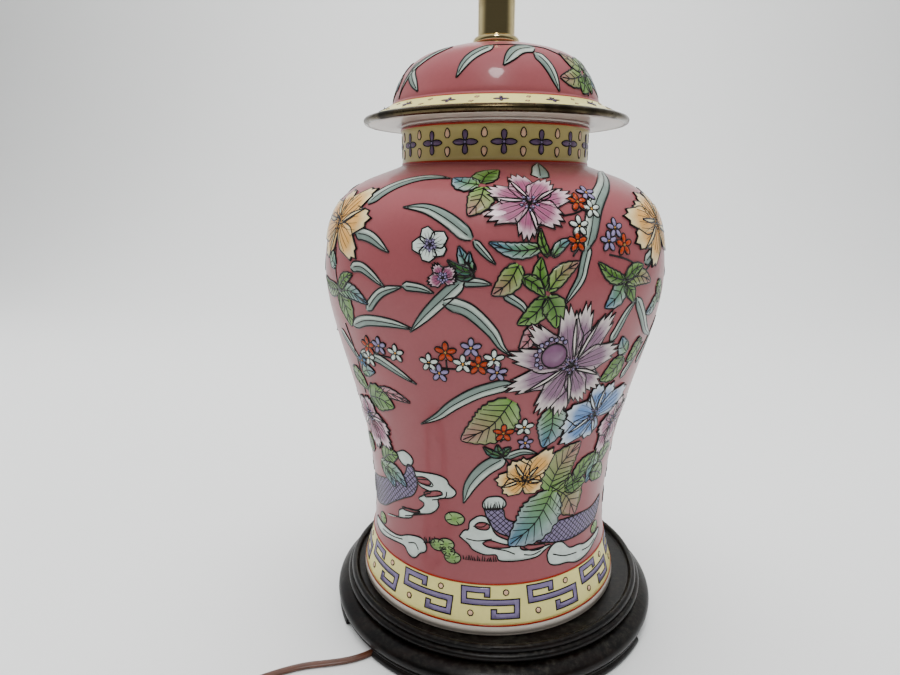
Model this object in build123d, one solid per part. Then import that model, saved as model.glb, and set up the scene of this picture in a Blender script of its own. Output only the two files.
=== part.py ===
from build123d import *
import math
import os

# Ginger-jar table lamp base: a porcelain covered jar on a turned wood stand, clamped by a
# hollow rod that carries a brass neck, a lamp socket, a harp and a finial.
# Millimetres. Origin on the floor under the middle of the stand, +Z up, front towards -Y.

# ---- driving dimensions ----
jar_axis_x = -4.0            # the jar sits a little off the middle of its stand

stand_radius = 126.8         # widest bead of the stand
stand_height = 32.7
dish_floor_z = 28.5          # the jar's foot rests here
dish_radius = 108.5
deck_bottom_z = 20.0
ring_inner_radius = 96.0
ring_bottom_z = 6.0
foot_count = 6
foot_first_angle = -111.5
foot_span = 41.0

jar_height = 338.0
jar_wall = 5.5
jar_neck_radius = 65.6
jar_hole_radius = 7.0

lid_top = 51.9               # above the seam between lid and jar
lid_rim_radius = 92.1
lid_wall = 5.0
lid_flat_radius = 19.5

tube_radius = 12.7           # one-inch brass neck tube
tube_length = 52.0
rod_radius = 5.0             # 1/8 IP lamp pipe
rod_bore_radius = 3.4

harp_wire_radius = 1.6
harp_leg_x = 32.0
harp_height = 222.0
stud_radius = 3.175          # 1/4-27 shade stud
socket_radius = 18.6
bulb_bore_radius = 13.4      # E26 thread, crest to crest
running_gap = 0.05

cord_radius = 2.7
cord_length = 1800.0
coil_mid_radius = 30.0
coil_half_width = 8.5
coil_height = 8.8
coil_x, coil_y = -165.0, -178.0

# ---- heights that follow ----
seam_z = dish_floor_z + jar_height
lid_top_z = seam_z + lid_top
tube_bottom_z = lid_top_z + 6.0
tube_top_z = tube_bottom_z + tube_length
cap_top_z = tube_top_z + 3.0
saddle_thickness = 1.4
nut_z = cap_top_z + saddle_thickness
nut_thickness = 3.2
socket_cap_z = nut_z + nut_thickness
socket_cap_height = 20.0
shell_z = socket_cap_z + socket_cap_height - 3.0
shell_height = 44.0
leg_z = cap_top_z + 20.0
harp_top_z = cap_top_z + harp_height
plate_thickness = 2.4
stud_length = 12.5
knob_z = shell_z + 13.0

os.makedirs("parts", exist_ok=True)


def save(name, solid):
    """Write one sub-part to its own file."""
    export_step(solid, f"parts/{name}.step")


def turned_points(points, x=0.0):
    """A solid of revolution from a closed list of (radius, height) corners."""
    outline = Polyline(*points, close=True)
    return Pos(x, 0, 0) * revolve(Plane.XZ * make_face(outline), Axis.Z)


def turned_edges(edges, x=0.0):
    """A solid of revolution from edges drawn as (radius, height)."""
    return Pos(x, 0, 0) * revolve(Plane.XZ * make_face(edges), Axis.Z)


def ring(inner, outer, low, high, x=0.0):
    """A plain washer or sleeve; inner 0 makes a disc."""
    body = Cylinder(outer, high - low, align=(Align.CENTER, Align.CENTER, Align.MIN))
    if inner > 0:
        body -= Cylinder(inner, high - low, align=(Align.CENTER, Align.CENTER, Align.MIN))
    return Pos(x, 0, low) * body


def hex_nut(across_flats, bore, low, high, x=0.0):
    """A hexagon nut with its upper edge broken."""
    blank = extrude(RegularPolygon(across_flats / 2, 6, major_radius=False), high - low)
    blank = chamfer(blank.edges().group_by(Axis.Z)[-1], 0.5)
    return Pos(x, 0, low) * (blank - Cylinder(bore, 4 * (high - low)))


# ---- the wood stand ----

def stand_top():
    """Turned deck: a dish for the jar's foot, a rolled lip, a bead and a cove under it."""
    edges = [
        Line((11, deck_bottom_z), (11, dish_floor_z)),
        Line((11, dish_floor_z), (dish_radius, dish_floor_z)),
        ThreePointArc((dish_radius, dish_floor_z), (110.1, 29.3), (110.7, 31.2)),
        ThreePointArc((110.7, 31.2), (112.8, stand_height), (115.0, 31.4)),
        ThreePointArc((115.0, 31.4), (115.5, 29.6), (115.2, 28.0)),
        ThreePointArc((115.2, 28.0), (118.3, 25.6), (116.6, 22.6)),
        Line((116.6, 22.6), (113.5, 21.6)),
        Line((113.5, 21.6), (112.0, deck_bottom_z)),
        Line((112.0, deck_bottom_z), (11, deck_bottom_z)),
    ]
    return turned_edges(edges)


def stand_base():
    """Broad half-round ring under the deck, with a small bead at its lower edge."""
    edges = [
        Line((ring_inner_radius, ring_bottom_z), (ring_inner_radius, deck_bottom_z)),
        Line((ring_inner_radius, deck_bottom_z), (112.0, deck_bottom_z)),
        ThreePointArc((112.0, deck_bottom_z), (119.5, 20.1), (124.6, 17.2)),
        ThreePointArc((124.6, 17.2), (stand_radius, 12.6), (124.7, 8.6)),
        ThreePointArc((124.7, 8.6), (125.3, 7.2), (124.0, ring_bottom_z)),
        Line((124.0, ring_bottom_z), (ring_inner_radius, ring_bottom_z)),
    ]
    return turned_edges(edges)


def stand_foot(angle):
    """One curved foot, its outer face swelling past the ring, its ends rounded over."""
    edges = [
        Line((108.0, ring_bottom_z), (124.0, ring_bottom_z)),
        ThreePointArc((124.0, ring_bottom_z), (126.2, 3.4), (124.6, 0)),
        Line((124.6, 0), (110.0, 0)),
        Line((110.0, 0), (108.0, ring_bottom_z)),
    ]
    foot = revolve(Plane.XZ * make_face(edges), Axis.Z, foot_span)
    lower = foot.edges().filter_by(GeomType.LINE).sort_by(Axis.Z)[:2]
    foot = fillet(lower, 2.0)
    return Rot(0, 0, angle - foot_span / 2) * foot


save("stand_top", stand_top())
save("stand_base", stand_base())
for number in range(foot_count):
    foot_angle = foot_first_angle + 360.0 / foot_count * number
    save(f"stand_foot_{number + 1}", stand_foot(foot_angle))

save("base_washer", ring(rod_radius + 0.3, 20.0, deck_bottom_z - 1.6, deck_bottom_z, jar_axis_x))
save("lock_washer", ring(rod_radius + 0.3, 8.6, deck_bottom_z - 2.8, deck_bottom_z - 1.6, jar_axis_x))
save("base_nut", hex_nut(17.5, rod_radius, deck_bottom_z - 7.0, deck_bottom_z - 2.8, jar_axis_x))

# ---- porcelain ----

# Outside of the jar from its foot to its shoulder, as (radius, height above the foot).
jar_outside = [
    (101.0, 2.5), (99.6, 9.0), (95.3, 24.0), (91.6, 42.0), (90.4, 58.0), (91.6, 85.0), (96.0, 119.0),
    (105.6, 160.0), (116.2, 200.0), (122.0, 234.0), (120.4, 261.0), (113.6, 283.0), (97.0, 299.5),
    (79.0, 307.5), (67.5, 311.8),
]


def jar_body():
    """Thrown jar: flared foot, narrow waist, full belly, round shoulder and straight neck."""
    foot_ring_inner, foot_recess, floor_thickness = 88.0, 3.5, 9.0
    neck_base, lip_low = 314.0, jar_height - 3.0
    neck = jar_neck_radius
    bore = neck - jar_wall
    inside = [(r - jar_wall, h) for r, h in reversed(jar_outside[2:])]
    inside[-1] = (jar_outside[2][0] - jar_wall, jar_outside[2][1] - 6.0)
    edges = [
        Line((foot_ring_inner, 0), (98.6, 0)),
        ThreePointArc((98.6, 0), (100.3, 0.8), jar_outside[0]),
        Spline(*jar_outside),
        ThreePointArc(jar_outside[-1], (66.1, 312.7), (neck, neck_base)),
        Line((neck, neck_base), (neck, lip_low)),
        ThreePointArc((neck, lip_low), (neck + 0.9, lip_low + 1.5), (neck, jar_height)),
        Line((neck, jar_height), (bore, jar_height)),
        Line((bore, jar_height), (bore, neck_base - 1.0)),
        Line((bore, neck_base - 1.0), inside[0]),
        Spline(*inside),
        Line(inside[-1], (inside[-1][0] - 5.0, floor_thickness)),
        Line((inside[-1][0] - 5.0, floor_thickness), (jar_hole_radius, floor_thickness)),
        Line((jar_hole_radius, floor_thickness), (jar_hole_radius, foot_recess)),
        Line((jar_hole_radius, foot_recess), (foot_ring_inner - 2.0, foot_recess)),
        Line((foot_ring_inner - 2.0, foot_recess), (foot_ring_inner, 0)),
    ]
    return Pos(0, 0, dish_floor_z) * turned_edges(edges, jar_axis_x)


def lid():
    """Domed cover with a flared brim, a rolled gilt rim and a collar that drops into the neck."""
    dome = [
        (71.6, 15.6), (70.2, 21.0), (66.8, 29.5), (60.8, 38.2), (52.0, 45.0), (39.0, 49.6),
        (lid_flat_radius, lid_top),
    ]
    inner_dome = [(r - lid_wall, h - 0.6 * lid_wall) for r, h in dome[1:-1]]
    collar, drop = jar_neck_radius - jar_wall - 0.5, 14.0
    hole = jar_hole_radius
    edges = [
        Line((jar_neck_radius, 0), (jar_neck_radius, 1.6)),
        Line((jar_neck_radius, 1.6), (89.6, 1.8)),
        ThreePointArc((89.6, 1.8), (lid_rim_radius, 3.6), (90.2, 5.9)),
        ThreePointArc((90.2, 5.9), (79.6, 10.2), (72.6, 14.4)),
        Line((72.6, 14.4), dome[0]),
        Spline(*dome, tangents=[(-0.1, 1.0), (-1.0, 0.02)]),
        Line(dome[-1], (hole, lid_top)),
        Line((hole, lid_top), (hole, lid_top - lid_wall)),
        Line((hole, lid_top - lid_wall), (lid_flat_radius, lid_top - lid_wall)),
        Line((lid_flat_radius, lid_top - lid_wall), inner_dome[-1]),
        Spline(*reversed(inner_dome)),
        Line(inner_dome[0], (inner_dome[0][0], 8.0)),
        Line((inner_dome[0][0], 8.0), (collar - lid_wall, 3.0)),
        Line((collar - lid_wall, 3.0), (collar - lid_wall, -drop)),
        Line((collar - lid_wall, -drop), (collar, -drop)),
        Line((collar, -drop), (collar, 0)),
        Line((collar, 0), (jar_neck_radius, 0)),
    ]
    return Pos(0, 0, seam_z) * turned_edges(edges, jar_axis_x)


save("jar_body", jar_body())
save("lid", lid())

# ---- brass neck ----


def vase_cap():
    """Stepped brass ring that covers the hole in the lid and seats the tube."""
    z = lid_top_z
    edges = [
        Line((rod_radius + 0.3, z), (17.4, z)),
        ThreePointArc((17.4, z), (18.2, z + 1.1), (17.2, z + 2.4)),
        Line((17.2, z + 2.4), (15.0, z + 3.0)),
        ThreePointArc((15.0, z + 3.0), (16.0, z + 5.4), (15.0, z + 7.6)),
        Line((15.0, z + 7.6), (13.6, z + 8.4)),
        Line((13.6, z + 8.4), (tube_radius, z + 8.4)),
        Line((tube_radius, z + 8.4), (tube_radius, tube_bottom_z)),
        Line((tube_radius, tube_bottom_z), (rod_radius + 0.3, tube_bottom_z)),
        Line((rod_radius + 0.3, tube_bottom_z), (rod_radius + 0.3, z)),
    ]
    return turned_edges(edges, jar_axis_x)


def neck_cap():
    """Shallow turned cap on the tube, under the harp's saddle."""
    z = tube_top_z
    edges = [
        Line((rod_radius + 0.3, z), (tube_radius + 0.9, z)),
        ThreePointArc((tube_radius + 0.9, z), (tube_radius + 1.8, z + 1.0), (tube_radius + 0.9, z + 2.0)),
        Line((tube_radius + 0.9, z + 2.0), (tube_radius - 1.5, cap_top_z)),
        Line((tube_radius - 1.5, cap_top_z), (rod_radius + 0.3, cap_top_z)),
        Line((rod_radius + 0.3, cap_top_z), (rod_radius + 0.3, z)),
    ]
    return turned_edges(edges, jar_axis_x)


save("vase_cap", vase_cap())
save("neck_tube", ring(tube_radius - 0.8, tube_radius, tube_bottom_z, tube_top_z, jar_axis_x))
save("neck_cap", neck_cap())

rod_bottom_z = deck_bottom_z - 8.5
rod_top_z = socket_cap_z + 6.0
save("threaded_rod", ring(rod_bore_radius, rod_radius, rod_bottom_z, rod_top_z, jar_axis_x))

# ---- harp saddle, harp and finial ----


def harp_saddle():
    """Flat strap across the neck, turned up at both ends into round posts."""
    width, post_z = 12.0, leg_z
    length = 2 * harp_leg_x + saddle_thickness
    strap = Pos(0, 0, cap_top_z + saddle_thickness / 2) * Box(length, width, saddle_thickness)
    strap -= Cylinder(rod_radius + 0.2, 4 * cap_top_z)
    for side in (-1, 1):
        ear = Pos(side * harp_leg_x, 0, cap_top_z + 4.5) * Box(saddle_thickness, width, 9.0)
        post = Pos(side * harp_leg_x, 0, (cap_top_z + 6.0 + post_z) / 2)
        post *= Cylinder(harp_wire_radius, post_z - cap_top_z - 6.0)
        strap += ear + post
    return Pos(jar_axis_x, 0, 0) * strap


def harp_wire():
    """One bent wire: straight legs, a wide belly for the bulb, and shoulders to the top plate."""
    half = [
        (harp_leg_x, leg_z), (harp_leg_x, leg_z + 32.0), (57.0, leg_z + 82.0), (57.0, leg_z + 128.0),
        (16.0, harp_top_z - plate_thickness / 2),
    ]
    left = [(-x, 0.0, z) for x, z in half]
    right = [(x, 0.0, z) for x, z in reversed(half)]
    line = FilletPolyline(*left, *right, radius=[26.0, 40.0, 48.0, 12.0, 12.0, 48.0, 40.0, 26.0])
    profile = Plane(origin=left[0], z_dir=(0, 0, 1)) * Circle(harp_wire_radius)
    return Pos(jar_axis_x, 0, 0) * sweep(profile, path=line)


def finial():
    """Turned brass finial: a collar, a slender neck, a ball and a point."""
    z = harp_top_z + plate_thickness / 2 + 0.1
    bore = stud_radius + running_gap
    edges = [
        Line((bore, z), (7.2, z)),
        ThreePointArc((7.2, z), (8.0, z + 1.6), (7.0, z + 3.2)),
        ThreePointArc((7.0, z + 3.2), (5.0, z + 6.2), (5.0, z + 10.0)),
        Line((5.0, z + 10.0), (5.0, z + 12.6)),
        ThreePointArc((5.0, z + 12.6), (9.6, z + 20.0), (4.0, z + 27.6)),
        ThreePointArc((4.0, z + 27.6), (2.2, z + 31.6), (1.5, z + 36.0)),
        Line((1.5, z + 36.0), (0.8, z + 37.0)),
        Line((0.8, z + 37.0), (0, z + 37.0)),
        Line((0, z + 37.0), (0, z + stud_length + 1.0)),
        Line((0, z + stud_length + 1.0), (bore, z + stud_length + 1.0)),
        Line((bore, z + stud_length + 1.0), (bore, z)),
    ]
    return turned_edges(edges, jar_axis_x)


save("harp_saddle", harp_saddle())
save("harp_wire", harp_wire())
plate_radius, plate_low = 8.5, harp_top_z - plate_thickness / 2
plate_top = plate_low + plate_thickness
save("harp_plate", ring(0, plate_radius, plate_low, plate_top, jar_axis_x) - harp_wire())
save("harp_stud", ring(0, stud_radius, plate_top, plate_top + stud_length, jar_axis_x))
for name, side in (("harp_sleeve_left", -1), ("harp_sleeve_right", 1)):
    sleeve_x = jar_axis_x + side * harp_leg_x
    save(name, ring(harp_wire_radius + running_gap, 3.1, leg_z - 7.0, leg_z + 8.0, sleeve_x))
save("finial", finial())

# ---- socket ----


def front_hole(distance, length):
    """The switch shaft's hole, as a cylinder that far in front of the axis."""
    return Pos(jar_axis_x, -distance, knob_z) * Rot(90, 0, 0) * Cylinder(shaft_radius + running_gap, length)


def socket_cap():
    """Spun brass cap: a threaded neck that opens into a bell."""
    z, wall, top, bell = socket_cap_z, 0.8, socket_cap_z + socket_cap_height, 19.5
    outer = [(7.2, z), (7.2, z + 6.0), (15.0, z + 10.5), (bell, z + 15.0), (bell, top)]
    inner = [(bell - wall, top), (bell - wall, z + 15.4), (14.6, z + 11.4), (rod_radius, z + 6.9), (rod_radius, z)]
    return turned_points(outer + inner, jar_axis_x)


def socket_shell():
    """Straight brass sleeve with a rolled mouth and a hole for the switch shaft."""
    z, wall, top = shell_z, 0.7, shell_z + shell_height
    radius, rolled = socket_radius, socket_radius + 0.6
    outline = [
        (radius - wall, z), (radius, z), (radius, top - 2.0), (rolled, top - 1.6),
        (rolled, top - 0.4), (radius, top), (radius - wall, top),
    ]
    return turned_points(outline, jar_axis_x) - front_hole(radius, 8.0)


def socket_core():
    """Moulded insulating block that holds the contacts and the switch."""
    z = shell_z + 1.0
    body = ring(0, 15.6, z, z + 20.0, jar_axis_x)
    body += ring(14.3, 15.6, z + 20.0, z + 36.0, jar_axis_x)
    body -= front_hole(14.0, 14.0)
    return body - ring(0, cord_radius + 0.3, z, z + 8.0, jar_axis_x)


shaft_radius = 2.4
shell_liner_wall = 1.0
save("rod_nut", hex_nut(14.2, rod_radius, nut_z, nut_z + nut_thickness, jar_axis_x))
save("socket_cap", socket_cap())
save("socket_shell", socket_shell())
liner_outer, liner_inset = socket_radius - 0.8, 1.5
liner_low, liner_high = shell_z + liner_inset, shell_z + shell_height - liner_inset
liner = ring(liner_outer - shell_liner_wall, liner_outer, liner_low, liner_high, jar_axis_x)
save("shell_liner", liner - front_hole(liner_outer, 8.0))
save("socket_core", socket_core())
core_top_z = shell_z + 21.0
screw_shell_z = core_top_z + 1.0
screw_shell_top_z = shell_z + 40.0
screw_outer_radius = bulb_bore_radius + 0.6
contact_radius, contact_height = 4.0, 0.8
save("screw_shell", ring(bulb_bore_radius, screw_outer_radius, screw_shell_z, screw_shell_top_z, jar_axis_x))
save("centre_contact", ring(0, contact_radius, core_top_z, core_top_z + contact_height, jar_axis_x))
save("rim_contact", ring(bulb_bore_radius - 1.4, screw_outer_radius, core_top_z, screw_shell_z, jar_axis_x))
set_screw = Pos(jar_axis_x + 8.6, 0, socket_cap_z + 3.2) * Rot(0, 90, 0) * Cylinder(2.0, 2.8)
save("cap_set_screw", set_screw)


def switch_shaft():
    """Round shaft that turns in the shell, pointing to the front."""
    inner, outer = 8.0, 28.0
    shaft = Rot(90, 0, 0) * Cylinder(shaft_radius, outer - inner)
    return Pos(jar_axis_x, -(inner + outer) / 2, knob_z) * shaft


def switch_knob():
    """Turn key: a round boss with a flat oval paddle."""
    boss = Pos(jar_axis_x, -23.6, knob_z) * Rot(90, 0, 0) * Cylinder(4.6, 7.2)
    paddle = Pos(jar_axis_x, -33.2, knob_z) * Rot(90, 0, 0) * extrude(Ellipse(8.0, 2.6), 6.0, both=True)
    paddle = fillet(paddle.edges().group_by(Axis.Y)[0] + paddle.edges().group_by(Axis.Y)[-1], 0.6)
    bore = Pos(jar_axis_x, -23.6, knob_z) * Rot(90, 0, 0) * Cylinder(shaft_radius, 8.8)
    return boss + paddle - bore


save("switch_shaft", switch_shaft())
save("switch_knob", switch_knob())

# ---- cord ----


gap_heading = -132.2          # degrees: the way from the rod to the gap where the cord leaves
clip_start, clip_end, clip_z = 60.0, 70.0, 8.0


def along(distance, z):
    """A point under the stand, that far from the rod towards the gap where the cord leaves."""
    heading = math.radians(gap_heading)
    return (jar_axis_x + distance * math.cos(heading), distance * math.sin(heading), z)


# The lead inside the lamp: down the rod, round under the nut and up to its clip.
lead_points = [
    (jar_axis_x, 0, shell_z + 6.0), (jar_axis_x, 0, 3.2), along(34.0, 3.2), along(56.0, clip_z),
    along(clip_end, clip_z),
]
lead_radii = [8.0, 30.0, 16.0]

# The free cord: out of the clip, through the gap beside a foot, along the floor to the coil.
run_points = [
    along(clip_end, clip_z), along(79.0, 7.0), along(91.0, cord_radius), (-75.4, -79.6, cord_radius),
    (-86.2, -90.4, cord_radius), (-99.0, -97.6, cord_radius), (-113.8, -101.6, cord_radius),
    (-129.2, -104.8, cord_radius), (-144.0, -111.4, cord_radius), (-158.6, -120.0, cord_radius),
    (-172.0, -130.6, cord_radius), (-183.2, -143.6, cord_radius), (-192.4, -158.6, cord_radius),
    (-199.4, -172.4, cord_radius),
]

# The tail: off the top of the coil and down to the plug that lies beside it.
tail_points = [
    (-146.6, -204.6, 7.2), (-137.0, -199.4, 5.2), (-127.6, -194.8, 3.9), (-118.4, -191.0, 4.6),
    (-110.0, -187.0, 6.4),
]


def bend_radii(points):
    """Largest arc that the two runs at each corner leave room for."""
    radii = []
    for before, corner, after in zip(points, points[1:], points[2:]):
        first, second = Vector(corner) - Vector(before), Vector(after) - Vector(corner)
        half_turn = math.radians(first.get_angle(second)) / 2
        radii.append(0.45 * min(first.length, second.length) / math.tan(half_turn))
    return radii


def tube(points, radii, thickness=cord_radius):
    """A round cord along points, with an arc of the given radius at each corner."""
    line = FilletPolyline(*points, radius=radii)
    start = Plane(origin=points[0], z_dir=Vector(points[1]) - Vector(points[0]))
    solid = sweep(start * Circle(thickness), path=line)
    print("tube length", round(line.length, 1), "smallest radius", round(min(radii), 1),
          "volume over section", round(solid.volume / (math.pi * thickness**2 * line.length), 4))
    return solid, line.length


lead, lead_length = tube(lead_points, lead_radii)
save("lead_inside", lead)
run, run_length = tube(run_points, bend_radii(run_points))
save("cord_run", run)
tail, tail_length = tube(tail_points, bend_radii(tail_points))
save("cord_tail", tail)
print("run radii", [round(r, 1) for r in bend_radii(run_points)])
print("tail radii", [round(r, 1) for r in bend_radii(tail_points)])
coil_turns = (cord_length - run_length - tail_length) / (2 * math.pi * coil_mid_radius)
print("coil turns", round(coil_turns, 2))

coil_ring = ring(coil_mid_radius - coil_half_width, coil_mid_radius + coil_half_width, 0, coil_height)
coil_ring = fillet(coil_ring.edges(), 2.0)
save("cord_coil", Pos(coil_x, coil_y, 0) * coil_ring)


def cord_clip():
    """Loop clamp round the cord, hung from the deck on a short strap."""
    middle = (clip_start + clip_end) / 2
    x, y, z = along(middle, clip_z)
    loop = Rot(0, 90, 0) * (Cylinder(cord_radius + 1.5, 8.0) - Cylinder(cord_radius, 8.0))
    strap_low = cord_radius + 1.2
    strap = Pos(0, 0, strap_low + (deck_bottom_z - clip_z - strap_low) / 2)
    strap *= Box(8.0, 2.4, deck_bottom_z - clip_z - strap_low)
    flange = Pos(0, 5.0, deck_bottom_z - clip_z - 0.8) * Box(8.0, 12.4, 1.6)
    return Pos(x, y, z) * Rot(0, 0, gap_heading) * (loop + strap + flange)


def clip_screw():
    """Pan head under the clamp's flange."""
    x, y, z = along((clip_start + clip_end) / 2, deck_bottom_z - 1.6)
    head = Cylinder(3.2, 2.0, align=(Align.CENTER, Align.CENTER, Align.MAX))
    head = fillet(head.edges().group_by(Axis.Z)[0], 1.0)
    return Pos(x, y, z) * Rot(0, 0, gap_heading) * Pos(0, 7.0, 0) * head


save("cord_clip", cord_clip())
save("clip_screw", clip_screw())

# ---- plug ----

plug_heading = 25.0
plug_length, plug_width, plug_height = 24.0, 19.0, 12.6
blade_length, blade_width, blade_thickness, blade_spacing = 17.0, 6.4, 1.5, 12.7


def plug_place():
    """Where the plug lies: at the end of the tail, turned to its own heading."""
    x, y, z = tail_points[-1]
    return Pos(x, y, z) * Rot(0, 0, plug_heading)


def plug_body():
    """Moulded two-blade plug with a waisted grip."""
    body = Pos(plug_length / 2, 0, 0) * Box(plug_length, plug_width, plug_height)
    body = fillet(body.edges(), 3.2)
    for side in (-1, 1):
        body -= Pos(plug_length * 0.42, side * (plug_width / 2 + 13.0), 0) * Cylinder(15.0, plug_height)
    return plug_place() * body


save("plug_body", plug_body())
for name, side in (("plug_blade_1", -1), ("plug_blade_2", 1)):
    blade = Pos(plug_length + blade_length / 2, side * blade_spacing / 2, 0)
    blade *= Box(blade_length, blade_thickness, blade_width)
    save(name, plug_place() * blade)
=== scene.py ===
import bisect
import bmesh
import bpy
import math
import random
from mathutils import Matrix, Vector
from mathutils.bvhtree import BVHTree


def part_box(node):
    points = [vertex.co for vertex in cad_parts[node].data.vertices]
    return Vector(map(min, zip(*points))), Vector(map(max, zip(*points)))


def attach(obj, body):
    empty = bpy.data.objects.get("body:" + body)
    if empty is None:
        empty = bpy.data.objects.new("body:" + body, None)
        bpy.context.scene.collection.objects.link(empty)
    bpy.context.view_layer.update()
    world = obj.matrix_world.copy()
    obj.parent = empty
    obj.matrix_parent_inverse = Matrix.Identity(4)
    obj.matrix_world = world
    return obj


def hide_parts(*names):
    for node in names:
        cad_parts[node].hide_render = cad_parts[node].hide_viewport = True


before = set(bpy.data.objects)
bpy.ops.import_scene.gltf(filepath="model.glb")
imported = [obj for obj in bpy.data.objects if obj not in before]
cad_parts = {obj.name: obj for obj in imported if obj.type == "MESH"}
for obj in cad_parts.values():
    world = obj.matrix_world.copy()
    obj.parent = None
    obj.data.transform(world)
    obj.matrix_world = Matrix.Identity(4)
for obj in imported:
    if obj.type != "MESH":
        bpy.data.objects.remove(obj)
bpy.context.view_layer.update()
random.seed(7)
mm = 0.001
print("frame loaded")

camera = {"place": (-0.004, -0.465, 0.3246), "yaw": -3.90, "pitch": -13.40, "roll": 0.12, "lens": 24.8}


def makeCamera():
    data = bpy.data.cameras.new("camera")
    data.lens, data.sensor_width = camera["lens"], 36
    data.clip_start = 0.01
    obj = bpy.data.objects.new("camera", data)
    obj.location = camera["place"]
    obj.rotation_euler = [math.radians(v) for v in (90 + camera["pitch"], -camera["roll"], -camera["yaw"])]
    bpy.context.scene.collection.objects.link(obj)
    bpy.context.scene.camera = obj


makeCamera()


# Materials. Colours are given as they look, and made linear here.
def tone(red, green, blue):
    return tuple((v / 255) ** 2.2 for v in (red, green, blue)) + (1.0,)


def newGroup(name, inputs, outputs):
    group = bpy.data.node_groups.new(name, "ShaderNodeTree")
    for label, kind, value in inputs:
        socket = group.interface.new_socket(name=label, in_out="INPUT", socket_type=kind)
        socket.default_value = value
    for label, kind in outputs:
        group.interface.new_socket(name=label, in_out="OUTPUT", socket_type=kind)
    return group, group.nodes.new("NodeGroupInput"), group.nodes.new("NodeGroupOutput")


def addNode(tree, kind, links=(), **settings):
    # links feeds inputs by name or index; a value that isn't a socket is set as the default
    node = tree.nodes.new("ShaderNode" + kind)
    for key, value in settings.items():
        setattr(node, key, value)
    for key, value in dict(links).items():
        if isinstance(value, bpy.types.NodeSocket):
            tree.links.new(value, node.inputs[key])
        else:
            node.inputs[key].default_value = value
    return node


def mixColour(tree, factor, first, second, blend="MIX"):
    node = addNode(tree, "Mix", data_type="RGBA", blend_type=blend)
    for index, value in ((0, factor), (6, first), (7, second)):
        if isinstance(value, bpy.types.NodeSocket):
            tree.links.new(value, node.inputs[index])
        else:
            node.inputs[index].default_value = value
    return node.outputs[2]


def rampOf(tree, factor, low, high):
    # a soft step from 0 at low to 1 at high
    return addNode(tree, "MapRange", {0: factor, 1: low, 2: high}, interpolation_type="SMOOTHSTEP").outputs[0]


def glazeGroup():
    # colour that pools and thins a little under a hand-brushed glaze, with fine pits
    group, source, result = newGroup(
        "glazeTone",
        [("Tint", "NodeSocketColor", (1, 1, 1, 1)), ("Cloudiness", "NodeSocketFloat", 0.12),
         ("Patch Scale", "NodeSocketFloat", 30.0), ("Pits", "NodeSocketFloat", 0.3)],
        [("Color", "NodeSocketColor"), ("Height", "NodeSocketFloat"), ("Roughness", "NodeSocketFloat")],
    )
    place = addNode(group, "TexCoord").outputs["Object"]
    broad = addNode(group, "TexNoise", {"Vector": place, "Scale": source.outputs["Patch Scale"], "Detail": 4.0})
    fine = addNode(group, "TexNoise", {"Vector": place, "Scale": 420.0, "Detail": 2.0})
    specks = addNode(group, "TexVoronoi", {"Vector": place, "Scale": 520.0})
    dots = rampOf(group, specks.outputs["Distance"], 0.16, 0.06)
    rare = rampOf(group, addNode(group, "TexNoise", {"Vector": place, "Scale": 60.0}).outputs["Fac"], 0.56, 0.66)
    pits = addNode(group, "Math", {0: dots, 1: rare}, operation="MULTIPLY").outputs[0]
    shift = addNode(group, "Math", {0: broad.outputs["Fac"], 1: -0.5}, operation="ADD").outputs[0]
    gain = addNode(group, "Math", {0: shift, 1: source.outputs["Cloudiness"], 2: 1.0}, operation="MULTIPLY_ADD")
    gain2 = addNode(group, "Math", {0: fine.outputs["Fac"], 1: 0.10, 2: -0.05}, operation="MULTIPLY_ADD")
    both = addNode(group, "Math", {0: gain.outputs[0], 1: gain2.outputs[0]}, operation="ADD").outputs[0]
    shaded = addNode(group, "VectorMath", {0: source.outputs["Tint"], "Scale": both}, operation="SCALE").outputs[0]
    pitted = addNode(group, "Math", {0: pits, 1: source.outputs["Pits"]}, operation="MULTIPLY").outputs[0]
    group.links.new(mixColour(group, pitted, shaded, tone(90, 60, 50)), result.inputs["Color"])
    waves = addNode(group, "Math", {0: broad.outputs["Fac"], 1: 0.6}, operation="MULTIPLY").outputs[0]
    rough = addNode(group, "Math", {0: fine.outputs["Fac"], 1: 0.16, 2: 0.26}, operation="MULTIPLY_ADD").outputs[0]
    height = addNode(group, "Math", {0: waves, 1: pitted}, operation="SUBTRACT").outputs[0]
    group.links.new(height, result.inputs["Height"])
    group.links.new(rough, result.inputs["Roughness"])
    return group


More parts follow.
